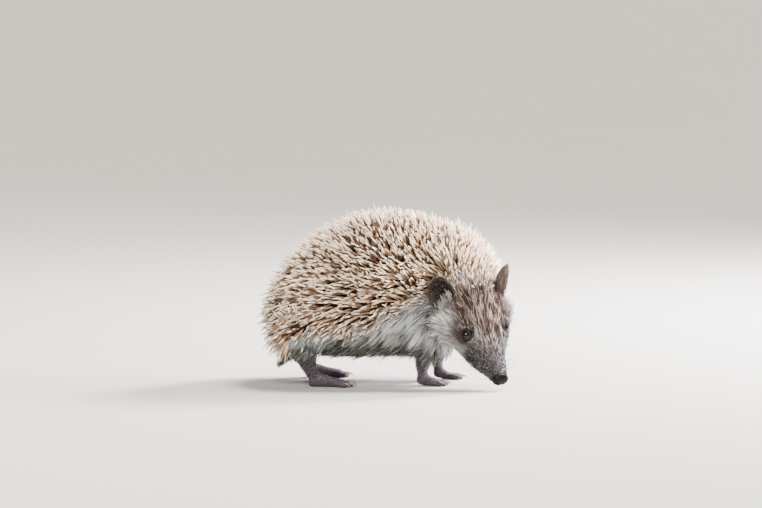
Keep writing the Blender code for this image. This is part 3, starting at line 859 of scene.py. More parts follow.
# Each row: a place and the way the coat is combed there; both flanks and both cheeks have them.
combing = {
    "trunk": (
        ((60.0, 0.0, 97.0), (-1.0, 0.0, 0.05)),
        ((95.0, 0.0, 96.0), (-1.0, 0.0, 0.15)),
        ((30.0, 0.0, 85.0), (-1.0, 0.0, -0.4)),
        ((12.0, 0.0, 60.0), (-0.6, 0.0, -1.0)),
        ((10.0, 0.0, 35.0), (0.0, 0.0, -1.0)),
        ((20.0, 20.0, 60.0), (-0.9, 0.0, -0.7)),
        ((20.0, 22.0, 34.0), (-0.5, 0.0, -1.0)),
        ((35.0, 36.0, 60.0), (-1.0, 0.0, -0.25)),
        ((35.0, 36.0, 36.0), (-0.75, 0.0, -0.7)),
        ((60.0, 40.0, 60.0), (-1.0, 0.0, -0.05)),
        ((60.0, 40.0, 34.0), (-0.95, 0.0, -0.4)),
        ((85.0, 40.0, 60.0), (-1.0, 0.0, -0.05)),
        ((85.0, 40.0, 36.0), (-0.85, 0.0, -0.5)),
        ((103.0, 36.0, 58.0), (-1.0, 0.0, 0.0)),
        ((103.0, 36.0, 34.0), (-0.75, 0.0, -0.7)),
        ((110.0, 0.0, 95.0), (-0.9, 0.0, 0.4)),
        ((60.0, 15.0, 21.0), (-1.0, 0.1, 0.0)),
        ((95.0, 15.0, 22.0), (-1.0, 0.1, 0.0)),
    ),
    "head": (
        ((25.0, 0.0, -6.0), (-1.0, 0.0, 0.0)),
        ((14.0, 8.0, -9.0), (-1.0, 0.15, 0.0)),
        ((14.0, 0.0, -18.0), (-1.0, 0.0, -0.1)),
        ((0.0, 9.0, -20.0), (-1.0, 0.15, -0.2)),
        ((-2.0, 0.0, 5.0), (-1.0, 0.0, 0.3)),
        ((-4.0, 8.0, 4.0), (-1.0, 0.08, 0.3)),
        ((-18.0, 0.0, 13.0), (-1.0, 0.0, 0.5)),
        ((-20.0, 10.0, 12.0), (-1.0, 0.15, 0.4)),
        ((-34.0, 0.0, 22.0), (-1.0, 0.0, 0.3)),
        ((-9.0, 16.5, 0.0), (-1.0, 0.35, 0.05)),
        ((-8.0, 17.0, -9.0), (-0.8, 0.5, -0.35)),
        ((-10.0, 14.0, -20.0), (-0.6, 0.35, -0.75)),
        ((-22.0, 19.0, -8.0), (-0.3, 0.6, -0.75)),
        ((-20.0, 0.0, -24.0), (-0.7, 0.0, -0.7)),
    ),
}
waves = {"pitch": 0.20, "turn": 0.30}    # how finely and how far the lie wanders

spineEdge = {
    # the lower edge of the spines: along the trunk, and its height
    "border": (
        (13.0, 18.0), (22.0, 28.0), (34.0, 34.0), (52.0, 34.0), (71.0, 34.5), (88.0, 39.0),
        (106.0, 46.0), (117.0, 52.0), (126.0, 56.0), (140.0, 58.0), (165.0, 60.0),
    ),
    "turned": 0.4, "turnedAhead": (37.0, 97.0),      # how the border follows the turn of the body
    "crownAhead": 107.0, "crown": -17.5,             # from there on, spines stop at this on the forehead
}
# Where the head begins, and the middle and the edges of the ruff on its cheeks.
headEdge = {"forward": (-34.0, -18.0), "up": (-42.0, -32.0), "ahead": (100.0, 114.0)}
ruff = {"forward": (-16.0, 9.0), "aside": (12.0, 18.0), "up": (9.0, 2.0)}


def combed(points, normals):
    # the mean of the combed ways, weighted by (distance² + 40)^-2.5, laid along the skin and let wander
    places, ways = [], []
    for origin, axes, rows in ((rump, np.eye(3), combing["trunk"]), (brow, headAxes, combing["head"])):
        rows = np.array(rows)
        for side in bothSides:
            mirrored = rows * (1.0, side, 1.0)
            places.append(mirrored[:, 0] @ axes + origin)
            ways.append(mirrored[:, 1] @ axes)
    places, ways = np.vstack(places), unit(np.vstack(ways))
    gap = ((points[:, None] - places[None]) ** 2).sum(-1)
    weight = (gap + 40.0) ** -2.5
    way = weight @ ways / weight.sum(1, keepdims=True)
    way = unit(way - (way * normals).sum(1, keepdims=True) * normals)
    p = points * waves["pitch"]
    wander = waves["turn"] * (np.sin(p[:, 0] * 1.3 + np.sin(p[:, 2] * 1.7) * 1.5)
                              * np.sin(p[:, 2] * 1.1 + np.sin(p[:, 1] * 1.9 + 1.0)))
    return turned(way, normals, wander)


def turned(way, normals, angle):
    # way cos a + (normal x way) sin a
    angle = angle[:, None]
    return unit(way * np.cos(angle) + np.cross(normals, way) * np.sin(angle))


def aboveSpineEdge(points):
    # how far, in millimetres, a place lies inside the spiny part of the coat
    form = spineEdge
    ahead, left, up = toTrunk(points)
    bent = ahead - form["turned"] * left * ease(ahead, *form["turnedAhead"])
    inside = up - np.interp(bent, *np.array(form["border"]).T)
    beforeCrown = form["crown"] - toHead(points)[0]
    return np.where(ahead > form["crownAhead"], np.minimum(inside, beforeCrown), inside)


def headShare(points):
    # 1 on the head, 0 on the trunk
    forward, left, up = toHead(points)
    share = ease(forward, *headEdge["forward"]) * ease(up, *headEdge["up"])
    return share * ease(toTrunk(points)[0], *headEdge["ahead"])


def ruffShare(points):
    # 1 on the cheeks below and before the ears
    forward, left, up = toHead(points)
    share = hump(forward, *ruff["forward"]) * ease(np.abs(left), *ruff["aside"]) * ease(up, *ruff["up"])
    return share * headShare(points)


def earShare(points):
    # 1 on the head's skin in front of an ear's hollow
    share = 0.0
    for side in bothSides:
        out, reach = fromEar(points, side)
        share = share + ease(reach, 1.5, 1.1) * ease(out, -6.0, -2.0)
    return share


def fromEyes(points):
    # for each eye: how far out of its middle the points lie, ahead of it and over it
    return [inFrame(points, middle, axes) for middle, axes in eyeFrames().values()]


furLengths = {
    "side": 16.5, "belly": 11.0, "chest": 10.0, "thigh": 8.0, "leg": 3.8, "foot": 1.5,
    # along the head: forward, and the length there
    "head": ((-30.0, 12.5), (-22.0, 10.5), (-14.0, 9.0), (-6.0, 7.2),
             (4.0, 5.2), (14.0, 3.8), (24.0, 2.4), (29.0, 1.2)),
    "ruff": 5.0,                         # how much longer it is on the sides of the head
    "byEars": 0.52, "byEyes": 0.65,      # and the share it is shorter by there
    "wave": 0.22,
    # for each length: tufts on a square millimetre, and their radius
    "density": ((1.0, 7.5), (2.5, 6.4), (5.5, 4.2), (7.0, 3.2), (10.0, 2.7), (15.0, 1.85)),
    "radius": ((1.0, 0.062), (3.0, 0.085), (6.0, 0.105), (15.0, 0.135)),
}
# Where one length gives way to the next: how far the skin faces down, places ahead of the rump, and heights.
furEdges = {
    "belly": (0.3, 0.9), "chestAhead": (112.0, 124.0), "chestHeight": (46.0, 30.0),
    "thighAhead": (46.0, 38.0), "thighHeight": (38.0, 26.0),
    "legHeight": (23.0, 17.0), "footHeight": (11.0, 5.0),
}


def furLength(points, normals):
    # lengths blended from part to part, shorter by the ears and the eyes, and in waves where the fur is long
    form, edge = furLengths, furEdges
    ahead, height = toTrunk(points)[0], points[:, 2]
    length = form["side"] + (form["belly"] - form["side"]) * ease(-normals[:, 2], *edge["belly"])
    for part in ("chest", "thigh"):
        share = ease(ahead, *edge[part + "Ahead"])
        length = length + (form[part] - length) * share * ease(height, *edge[part + "Height"])
    limb = form["leg"] + (form["foot"] - form["leg"]) * ease(height, *edge["footHeight"])
    length = length + (limb - length) * ease(height, *edge["legHeight"])
    head = np.interp(toHead(points)[0], *np.array(form["head"]).T) + form["ruff"] * ruffShare(points)
    share = headShare(points)
    length = length * (1.0 - share) + head * share
    length = length * (1.0 - form["byEars"] * earShare(points))
    for out, before, over in fromEyes(points):
        share = ease(np.hypot(before, over), 8.5, 4.0) * ease(out, -5.0, -2.0)
        length = length * (1.0 - form["byEyes"] * share)
    wave = np.sin(points[:, 0] * 0.55 + 1.5 * np.sin(points[:, 0] * 0.21) + points[:, 1] * 0.3)
    return length * (1.0 + form["wave"] * wave * ease(length, 7.0, 11.0))


# Roots: places on the skin, with their normal and their spot on its unwrap.

def unwrapped(piece):
    # Blender's own unwrap of the skin's shape; the coat's patches lie on it
    bpy.context.view_layer.objects.active = piece
    piece.select_set(True)
    piece.data.uv_layers.new(name="OFBake")
    bpy.ops.object.mode_set(mode="EDIT")
    bpy.ops.mesh.select_all(action="SELECT")
    bpy.ops.uv.smart_project(angle_limit=math.radians(70.0), island_margin=0.001)
    bpy.ops.object.mode_set(mode="OBJECT")


class Ground:
    # the skin's triangles as arrays, for growing on
    def __init__(self, mesh):
        mesh.calc_loop_triangles()
        count, corners = len(mesh.vertices), len(mesh.loop_triangles)
        self.points = self.read(mesh.vertices, "co", count * 3).reshape(-1, 3) / mm
        self.normals = self.read(mesh.vertices, "normal", count * 3).reshape(-1, 3)
        self.corners = self.read(mesh.loop_triangles, "vertices", corners * 3, np.int32).reshape(-1, 3)
        loops = self.read(mesh.loop_triangles, "loops", corners * 3, np.int32).reshape(-1, 3)
        spots = self.read(mesh.uv_layers["OFBake"].data, "uv", len(mesh.loops) * 2).reshape(-1, 2)
        self.spots = spots[loops]
        self.ear = self.read(mesh.attributes["ear"].data, "value", count)[self.corners[:, 0]]
        self.hollow = self.read(mesh.attributes["hollow"].data, "value", count)
        a, b, c = (self.points[self.corners[:, k]] for k in range(3))
        self.area = np.linalg.norm(np.cross(b - a, c - a), axis=1) / 2.0
        self.middle = (a + b + c) / 3.0
        self.facing = unit(self.normals[self.corners].sum(1))

    def read(self, data, field, size, kind=np.float32):
        values = np.empty(size, kind)
        data.foreach_get(field, values)
        return values.astype(float) if kind is np.float32 else values

    def roots(self, density):
        # density x area roots, spread at random over each triangle
        expected = density * self.area
        total = rng.poisson(expected.sum())
        chosen = rng.choice(len(expected), total, p=expected / expected.sum())
        a, b = rng.random((2, total))
        a, b = np.where(a + b > 1.0, (1.0 - a, 1.0 - b), (a, b))
        share = np.stack((1.0 - a - b, a, b), 1)
        corners = self.corners[chosen]
        return {
            "point": (self.points[corners] * share[..., None]).sum(1),
            "normal": unit((self.normals[corners] * share[..., None]).sum(1)),
            "spot": (self.spots[chosen] * share[..., None]).sum(1),
            "hollow": (self.hollow[corners] * share).sum(1),
        }


def kept(roots, mask):
    # the roots that a mask or a slice picks
    return {name: values[mask] for name, values in roots.items()}


def cellNumbers(points, size):
    # one whole number for each cell, of the given size, that the points fall in
    cell = np.floor(points / size).astype(np.int64)
    cell = cell - cell.min(0)
    return (cell[:, 0] * 4096 + cell[:, 1]) * 4096 + cell[:, 2]


def thinned(roots, size):
    # one root is kept in each cell, so that none crowd
    first = np.unique(cellNumbers(roots["point"], size), return_index=True)[1]
    return kept(roots, np.sort(first))


# Strands: closed tapering tubes, grown as arrays.

patch = 0.003                # the size of one strand's patch on the unwrap


def strandFaces(rings, sides):
    # triangles of one tube with a flat base and a point, and where its corners lie in its patch
    i, j = (grid.ravel() for grid in np.meshgrid(np.arange(rings - 1), np.arange(sides), indexing="ij"))
    k = (j + 1) % sides
    near, far = i * sides, (i + 1) * sides
    lower = np.stack((near + j, near + k, far + k), 1)
    upper = np.stack((near + j, far + k, far + j), 1)
    step = 1.0 / rings
    lowerSpots = np.stack((np.stack((j, j + 1, j + 1), 1) / sides, np.stack((i, i, i + 1), 1) * step), -1)
    upperSpots = np.stack((np.stack((j, j + 1, j), 1) / sides, np.stack((i, i + 1, i + 1), 1) * step), -1)
    j = np.arange(sides)
    last = (rings - 1) * sides
    point = np.stack((last + j, last + (j + 1) % sides, np.full(sides, rings * sides)), 1)
    pointSpots = np.stack((np.stack((j, j + 1, j + 0.5), 1) / sides,
                           np.broadcast_to(np.array((1.0 - step, 1.0 - step, 1.0)), (sides, 3))), -1)
    fan = np.arange(1, sides - 1)
    base = np.stack((np.zeros_like(fan), fan + 1, fan), 1)
    baseSpots = np.broadcast_to(np.array(((0.0, 0.0), (1.0, 0.2), (1.0, 0.0))), (len(fan), 3, 2))
    return np.vstack((lower, upper, point, base)), np.vstack((lowerSpots, upperSpots, pointSpots, baseSpots))


def strandMesh(name, roots, start, end, across, length, radius, profile, sides):
    # path(t) = root + length (t start + t² (end - start) / 2); each ring is radius profile(t) round it
    t, size = np.array(profile).T
    count, rings = len(length), len(t) - 1
    bend = (end - start)[:, None]
    stretch = t[:, None] * start[:, None] + 0.5 * t[:, None] ** 2 * bend
    path = roots["point"][:, None] + length[:, None, None] * stretch
    way = unit(start[:, None] + t[:, None] * bend)
    over = unit(np.cross(across[:, None], way))
    side = np.cross(way, over)
    turn = around(sides)[0]
    reach = (radius[:, None] * size[:-1])[:, :, None, None]
    spread = np.cos(turn)[:, None] * side[:, :-1, None] + np.sin(turn)[:, None] * over[:, :-1, None]
    wall = (path[:, :-1, None] + reach * spread).reshape(count, rings * sides, 3)
    points = np.concatenate((wall, path[:, -1:]), 1)
    points[..., 2] = np.maximum(points[..., 2], 0.02)
    each = rings * sides + 1
    faces, spots = strandFaces(rings, sides)
    allFaces = (faces[None] + (np.arange(count) * each)[:, None, None]).reshape(-1, 3)
    allSpots = roots["spot"][:, None, None] + patch * (spots[None] - 0.5)
    mesh = meshFrom(name, points.reshape(-1, 3), allFaces)
    layer = mesh.uv_layers.new(name="OFBake")
    layer.data.foreach_set("uv", allSpots.astype(np.float32).ravel())
    addAttribute(mesh, "root", np.repeat(roots["point"] * mm, each, 0))
    addAttribute(mesh, "shade", np.repeat(roots["shade"], each))
    addAttribute(mesh, "along", np.tile(np.append(np.repeat(t[:-1], sides), 1.0), count))
    return mesh


def growCoat(name, pieces, roots, start, end, length, radius, profile, sides, material):
    # the strands go round the pieces in turn, so that each piece covers the whole animal
    across = unit(np.cross(roots["normal"], end))
    for number in range(pieces):
        share = slice(number, None, pieces)
        pieceName = f"{name}{number + 1}"
        mesh = strandMesh(pieceName, kept(roots, share), start[share], end[share], across[share],
                          length[share], radius[share], profile, sides)
        addPiece(pieceName, mesh, material)
        print(pieceName + ":", len(length[share]), "strands,", len(mesh.polygons), "triangles")


def leaned(way, normals, angle):
    # normal cos a + way sin a
    angle = np.asarray(angle)[:, None]
    return unit(normals * np.cos(angle) + way * np.sin(angle))


# Spines.

spines = {
    "density": 1.2,             # roots on a square millimetre, before they are thinned
    "cell": 2.35,               # and their spacing after
    "height": 12.6,             # how far the tips stand off the skin
    "crownHeight": 7.5,
    "proud": 1.6,               # how much further some of them stand off
    "proudShare": 0.14,         # and how many
    "longest": 19.0,
    "radius": 0.66,
    "lean": (12.0, 35.0),       # from upright, on the top of the back and on the flanks, in degrees
    "scatter": 0.23,
    "swirl": (0.3, 0.22),       # how far they turn from the lie of the coat, each alone and as a group
    "groupSize": 0.42, "groupLean": 0.1,
    "crown": (-48.0, -24.0), "crownAhead": (103.0, 116.0),
    "rooted": 0.6,              # how deep the roots sit in the skin
    "clearOfEar": (1.12, -5.0, 8.0),    # reach, and how far behind and before an ear's plane
    "edgeHeight": 0.6, "edgeLength": 0.55, "edgeRadius": 0.75,      # what is left of each at the border
    "unevenLength": (0.8, 1.13), "unevenRadius": (0.8, 1.15),
    "profile": ((0.0, 0.5), (0.12, 0.85), (0.5, 1.0), (0.8, 0.8), (0.94, 0.42), (1.0, 0.0)),
    # along a spine: where each tone starts and where it is full
    "middleFrom": (0.1, 0.3), "darkFrom": (0.34, 0.46), "darkTo": (0.82, 0.70), "paleFrom": (0.68, 0.80),
    "tones": {"tip": tone(255, 240, 204), "pale": tone(255, 233, 222), "band": tone(90, 62, 50),
              "dark": tone(46, 33, 28), "middle": tone(206, 174, 144), "base": tone(122, 94, 74)},
}


def spinePaint():
    # a pale tip, a dark band and a tan shaft, each spine with its band in its own place; high on the back the
    # tips are paler, as painted light from above
    paint = Paint("spineHorn", Specular_IOR_Level=0.4)
    form, t = spines, spines["tones"]
    along, shade = paint.number("along"), paint.number("shade")
    own, other, third = ((shade * size).fraction() for size in (7.31, 31.7, 17.9))   # more random numbers
    spot = paint.spot("root")
    patchy = paint.noise(spot, 0.12, 2.0) - 0.5
    near = paint.ease(paint.dot(spot, headAxes[0]) - float(headAxes[0] @ brow), -75.0, -35.0)
    # higher on the back the pale tip reaches further down each spine: painted light from above
    high = paint.ease(paint.dot(spot, upright), 48.0, 88.0)
    place = along + (own - 0.5) * 0.2 + patchy * 0.14 + near * 0.06 + high * 0.09 - 0.05
    colour = paint.mix(paint.ease(place, *form["middleFrom"]), t["base"], t["middle"])
    dark = paint.ease(place, *form["darkFrom"]) * paint.ease(place, *form["darkTo"])
    dark = dark * paint.ease(shade, 0.02, 0.12)
    colour = paint.mix(dark * (0.7 + own * 0.3 - near * 0.4), colour, paint.mix(other, t["band"], t["dark"]))
    colour = paint.mix(paint.ease(place, *form["paleFrom"]), colour, paint.mix(other, t["tip"], t["pale"]))
    colour = paint.mix(paint.ease(third, 0.55, 0.95) * 0.5, colour, t["middle"])
    paint.colour(paint.shaded(colour, shade * 0.38 + 0.75))
    paint.rough(0.42 + own * 0.12)
    paint.bump(paint.noise(spot, 3.0, 2.0), 0.0001, 0.3)
    return paint.material


def offEars(points, length, start, end):
    # true where a spine keeps out of the slab of each ear, at four places along it
    farthest, behind, before = spines["clearOfEar"]
    free = np.ones(len(points), bool)
    for t in (0.4, 0.6, 0.8, 1.0):
        place = points + length[:, None] * (t * start + 0.5 * t * t * (end - start))
        for side in bothSides:
            out, reach = fromEar(place, side)
            free &= (reach > farthest) | (out < behind) | (out > before)
    return free


def growSpines(ground):
    # they lean more on the flanks and the crown, and cross one another in loose groups
    form = spines
    spiny = (aboveSpineEdge(ground.middle) > 0.0) & (ground.ear < 0.5)
    roots = thinned(ground.roots(np.where(spiny, form["density"], 0.0)), form["cell"])
    points, normals = roots["point"], roots["normal"]
    edge = aboveSpineEdge(points)
    count = len(points)
    roots["shade"] = rng.random(count)
    x, y, z = (points * form["groupSize"]).T
    group = np.sin(x * 1.7 + 2.0 * np.sin(z)) * np.sin(z * 2.1 + 1.5 * np.sin(y * 1.3))
    alone, together = form["swirl"]
    way = turned(combed(points, normals), normals, rng.normal(0.0, alone, count) + together * group)
    flat = ease(1.0 - normals[:, 2], 0.05, 0.75)
    crown = ease(toHead(points)[0], *form["crown"]) * ease(toTrunk(points)[0], *form["crownAhead"])
    least, most = form["lean"]
    lean = np.radians(least + (most - least) * np.maximum(flat, crown * 0.95))
    lean = lean + rng.normal(0.0, form["scatter"], count) + form["groupLean"] * group
    lean = np.clip(lean, 0.05, 1.15)

    def nearEdge(name, full):
        # what is left at the border of the spines, rising to 1 at full millimetres inside it
        return form[name] + (1.0 - form[name]) * ease(edge, 0.0, full)

    height = form["height"] + (form["crownHeight"] - form["height"]) * crown
    height = height * nearEdge("edgeHeight", 7.0)
    some = rng.random(count) < form["proudShare"]
    height = height + form["proud"] * some * ease(edge, 4.0, 9.0) * (1.0 - crown)
    longest = form["longest"] * nearEdge("edgeLength", 6.0)
    length = np.minimum(height / np.cos(lean), longest) * rng.uniform(*form["unevenLength"], count)
    start = leaned(way, normals, lean - 0.10)
    end = leaned(way, normals, lean + rng.uniform(0.0, 0.25, count))
    radius = form["radius"] * rng.uniform(*form["unevenRadius"], count) * nearEdge("edgeRadius", 7.0)
    free = offEars(points, length, start, end)
    roots["point"] = points - normals * form["rooted"]
    growCoat("spines", 3, kept(roots, free), start[free], end[free], length[free], radius[free],
             form["profile"], 5, spinePaint())


# Fur: long on the sides, short on the face, hardly any on the feet.

furForm = {
    "longProfile": ((0.0, 0.7), (0.3, 1.0), (0.6, 0.85), (0.85, 0.45), (1.0, 0.0)),
    "shortProfile": ((0.0, 0.8), (0.4, 1.0), (0.8, 0.6), (1.0, 0.0)),
    "longFrom": 5.5,            # millimetres: tufts from this length on have one more ring
    "lift": (18.0, 36.0),       # how far short and long fur stands up from the skin at its root, in degrees
    "strayLift": 0.35, "ruffLift": 0.22, "bellyLift": 0.45,      # how much more some of it does, in radians
    "stray": 0.06,              # the share of the tufts that stand out
    "strayLonger": 0.3,
    "tipLift": (0.05, 0.25),    # how far the tips stand off, and how much further those of stray tufts
    "droop": 0.3,               # how far long fur bends down
    "unevenLength": (0.7, 1.12), "unevenRadius": (0.75, 1.15),
    "longLock": (2.3, 0.66),    # how wide a lock is at its root, and how far its tips come together
    "shortLock": (1.0, 0.28),
    "longTip": (0.12, 0.66),    # along a hair: where its dark root, partly painted shade deep in the coat, ends and its own tone begins
    "shortTip": (0.05, 0.5),
    # how much sparser it is on the limbs, in front of the ears and on the belly
    "limb": 0.2, "ears": 0.55, "belly": 0.45,
    "bareNose": 28.6, "bareEye": 3.9,            # none from there forward, and none so near an eye's middle
    "rooted": 0.25,             # how deep the roots sit in the skin
    "mostTriangles": 185000,    # in one piece
}
furLook = {
    "lines": 1.4, "stretched": (0.07, 1.0, 0.07), "streaks": (0.68, 0.78),       # on the forehead
    "paleTips": 0.78, "paleHairs": 0.7,          # how pale on the muzzle, and among the belly's hairs darkened with painted shade
    "roots": 0.85, "darkHairs": 0.22, "darkLocks": 0.6,      # how dark the roots are, partly as painted shade deep in the coat, and some hairs and locks
}


def furPaint(name, reach):
    # the markings at the root, darker at the base (the hairs' own darker base and painted shade deep in the
    # coat), with streaks on the forehead and pale tips on the muzzle
    paint, t, look = Paint(name, Specular_IOR_Level=0.3), furTones, furLook
    along, shade = paint.number("along"), paint.number("shade")
    own = (shade * 53.7).fraction()      # one more random number
    spot = paint.spot("root")
    colour, share = markings(paint, spot)
    lines = paint.noise(paint.squeezed(spot, look["stretched"]), look["lines"], 2.0)
    streak = share["forehead"] * paint.ease(own * 0.3 + lines, *look["streaks"])
    pale = share["muzzle"] * paint.ease(along, 0.3, 0.8) * paint.ease(own, 0.62, 0.78) * look["paleTips"]
    limb = share["limb"] * paint.ease(own, 0.35, 0.7)
    # pale hairs among the belly's painted shade
    belly = share["belly"] * paint.ease(own, 0.55, 0.85) * look["paleHairs"]
    # dark roots: partly the hairs' own darker base, partly painted shade deep in the coat
    root = (1.0 - paint.ease(along, *reach)) * look["roots"]
    clear = 1.0 - share["forehead"]
    hair = paint.ease(own, 0.4, 0.1) * clear * look["darkHairs"]
    lock = paint.ease(shade, 0.36, 0.12) * clear * look["darkLocks"]
    for amount, over in ((streak, "streak"), (pale, "muzzleTip"), (limb, "limbTip"), (belly, "side"),
                         (root, "under"), (hair, "under"), (lock, "under")):
        colour = paint.mix(amount, colour, t[over])
    paint.colour(paint.shaded(colour, shade * 0.8 + 0.48))
    paint.rough(0.6 + shade * 0.15)
    return paint.material


def gathered(roots, start, end, length, size, pull):
    # strands whose roots share a cell lean together: each tip moves to the mean tip by pull
    points = roots["point"]
    wobble = np.sin(points[:, [1, 2, 0]] * 0.9 / size) * 0.35 * size
    lock = np.unique(cellNumbers(points + wobble, size), return_inverse=True)[1].ravel()
    tips = points + length[:, None] * (start + end) / 2.0
    count = np.bincount(lock)
    middle = np.stack([np.bincount(lock, tips[:, k]) for k in range(3)], 1) / count[:, None]
    moved = tips + pull * (middle[lock] - tips)
    roots["shade"] = roots["shade"] * 0.5 + rng.random(len(count))[lock] * 0.5
    return 2.0 * (moved - points) / length[:, None] - start


def furDensity(ground):
    # tufts on a square millimetre of each triangle
    form = furForm
    points, down = ground.middle, -ground.facing[:, 2]
    offHead = 1.0 - headShare(points)
    length = furLength(points, ground.facing)
    density = np.interp(length, *np.array(furLengths["density"]).T)
    limb = ease(points[:, 2], 21.0, 16.0) * offHead
    density = density * (1.0 - form["limb"] * limb) * (points[:, 2] > 1.0)
    density = density * (1.0 - form["ears"] * earShare(points))
    density = density * (1.0 - form["belly"] * ease(down, 0.5, 0.9) * offHead)
    density = density * ease(aboveSpineEdge(points), 6.0, 2.0) * (ground.ear < 0.5)
    density = density * (toHead(points)[0] < form["bareNose"])
    for out, before, over in fromEyes(points):
        density = density * ~((np.hypot(before, over * 1.05) < form["bareEye"]) & (out > -3.0))
    return density


def growFur(ground):
    # tufts combed back and let droop where they are long, some of them astray, gathered in locks
    form = furForm
    roots = ground.roots(furDensity(ground))
    points, normals = roots["point"], roots["normal"]
    count = len(points)
    roots["shade"] = rng.random(count)
    length = furLength(points, normals)
    long = ease(length, 4.0, 12.0)
    way = turned(combed(points, normals), normals, rng.normal(0.0, 0.16, count))
    stray = (rng.random(count) < form["stray"]) * ease(length, 2.5, 5.0)
    least, most = form["lift"]
    lift = np.radians(least + (most - least) * long) + rng.normal(0.0, 0.1, count)
    lift = lift + form["strayLift"] * stray + form["ruffLift"] * ruffShare(points)
    lift = lift + form["bellyLift"] * rng.random(count) * ease(-normals[:, 2], 0.2, 0.6) * long
    start = leaned(way, normals, np.pi / 2.0 - lift)
    least, more = form["tipLift"]
    end = unit(way + normals * (least + more * stray)[:, None] - form["droop"] * long[:, None] * upright)
    radius = np.interp(length, *np.array(furLengths["radius"]).T) * rng.uniform(*form["unevenRadius"], count)
    length = length * rng.uniform(*form["unevenLength"], count) * (1.0 + form["strayLonger"] * stray)
    roots["point"] = points - normals * form["rooted"]
    isLong = length > form["longFrom"]
    for kind, mask, slot in (("long", isLong, "fur"), ("short", ~isLong, "face")):
        name, some, profile = kind + "Fur", kept(roots, mask), form[kind + "Profile"]
        end[mask] = gathered(some, start[mask], end[mask], length[mask], *form[kind + "Lock"])
        triangles = mask.sum() * (len(profile) * 6 - 8)
        pieces = math.ceil(triangles / form["mostTriangles"])
        growCoat(name, pieces, some, start[mask], end[mask], length[mask], radius[mask],
                 profile, 3, furPaint(name, form[kind + "Tip"]))


unwrapped(skin)
ground = Ground(skinMesh)
# where the skin takes the dark spiny tone, partly painted shade between the spines
addAttribute(skinMesh, "spiny", ease(aboveSpineEdge(ground.points), -1.0, 4.0))
print("unwrap: done")
growSpines(ground)
growFur(ground)


# Ears: down on the back and the rim, a pale tuft that fills the front of the hollow.

earFur = {
    "density": 3.6,             # roots on a square millimetre
    "spread": 0.25,             # how far each hair turns from the others
    # length, radius, the lift from the skin at the root in degrees, and the tone
    "down": (1.8, 0.1, 28.0, tone(130, 114, 98)),
    "tuft": (5.0, 0.14, 40.0, tone(232, 230, 222)),
    "root": tone(88, 76, 64),
    "rimTo": 0.72,              # down grows on the back, on the rim and, more thinly, in the hollow
    "tuftFrom": (2.4, 0.6),     # forward of the ear's middle, and how much more so with height
    "tuftTo": 5.4,
}


def earPaint(name, colour):
    # one tone, darker at the root, each hair a little different
    paint = Paint(name, Specular_IOR_Level=0.3)
    along, shade = paint.number("along"), paint.number("shade")
    mixed = paint.mix(paint.ease(along, 0.0, 0.6), earFur["root"], colour)
    paint.colour(paint.shaded(mixed, shade * 0.8 + 0.3))
    paint.rough(0.65 + shade * 0.1)
    return paint.material


def growEarFur(ground):
    # hairs run up the ear and spread from its middle
    form = earFur
    roots = ground.roots(np.where(ground.ear > 0.5, form["density"], 0.0))
    normals, hollow = roots["normal"], roots["hollow"]
    count = len(hollow)
    roots["shade"] = rng.random(count)
    side = np.where(toHead(roots["point"])[1] > 0.0, 1.0, -1.0)
    across, rise, way = np.empty(count), np.empty(count), np.empty((count, 3))
    for hand in bothSides:
        middle, axes = earFrame(hand)
        mask = side == hand
        across[mask], rise[mask] = inFrame(roots["point"][mask], middle, axes)[1:]
        way[mask] = axes[2] + axes[1] * (across[mask] / earForm["width"])[:, None] + axes[0] * 0.25
    front, inside = -side * across, hollow > 0.5
    low, slope = form["tuftFrom"]
    tuft = inside & (front > low + slope * rise) & (front < form["tuftTo"]) & (rise < 0.0)
    tuft = tuft & (rng.random(count) < 0.4)
    rim = (hollow > 0.0) & (hollow < form["rimTo"])
    down = (~inside | rim | (rng.random(count) < 0.35)) & ~tuft
    way = unit(way - (way * normals).sum(1, keepdims=True) * normals)
    way = turned(way, normals, rng.normal(0.0, form["spread"], count))
    wild = rng.uniform(0.7, 1.15, count)
    for name, mask, look in (("earDown", down, form["down"]), ("earTuft", tuft, form["tuft"])):
        length, radius, lift, colour = look
        some = kept(roots, mask)
        start, end = (leaned(way[mask], some["normal"], np.full(mask.sum(), math.radians(angle)))
                      for angle in (90.0 - lift, 82.0))
        growCoat(name, 1, some, start, end, length * wild[mask], radius * wild[mask],
                 furForm["shortProfile"], 3, earPaint(name + "Hair", colour))


growEarFur(ground)


# Whiskers.

whiskers = {
    "density": 0.16, "length": (9.0, 17.0), "radius": 0.085,
    "profile": ((0.0, 1.0), (0.3, 0.9), (0.6, 0.7), (0.85, 0.4), (1.0, 0.0)),
    "root": tone(58, 50, 46), "tip": tone(170, 160, 150),
}


def growWhiskers(ground):
    # they stand out sideways from the lip and sweep back
    form = whiskers
    forward, left, up = toHead(ground.middle)
    lip = hump(forward, 17.0, 6.0) * hump(up, -12.0, 3.0) * (np.abs(left) > 4.0) * (forward < 26.0)
    roots = ground.roots(form["density"] * lip * (ground.ear < 0.5) * (headShare(ground.middle) > 0.9))
    count = len(roots["hollow"])
    roots["shade"] = rng.random(count)
    side = np.sign(toHead(roots["point"])[1])[:, None]
    outward = side * headAxes[1]
    start = unit(roots["normal"] * 0.6 + outward * 0.8 - headAxes[0] * 0.2)
    end = unit(outward * 0.7 - headAxes[0] * 0.8 - headAxes[2] * rng.uniform(-0.2, 0.5, count)[:, None])
    length = rng.uniform(*form["length"], count)
    paint = Paint("whiskerHair", Roughness=0.4)
    paint.colour(paint.mix(paint.ease(paint.number("along"), 0.3, 1.0), form["root"], form["tip"]))
    growCoat("whiskers", 1, roots, start, end, length, np.full(count, form["radius"]), form["profile"], 4,
             paint.material)


growWhiskers(ground)


# Eyes and their lids.

def smoothPiece(name, points, quads, material, slot, *nodes):
    # a closed piece from a grid, in place of the CAD nodes it is named with
    piece = addPiece(name, closed(meshFrom(name, points, quads)), material)
    if nodes:
        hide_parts(*nodes)
    return piece


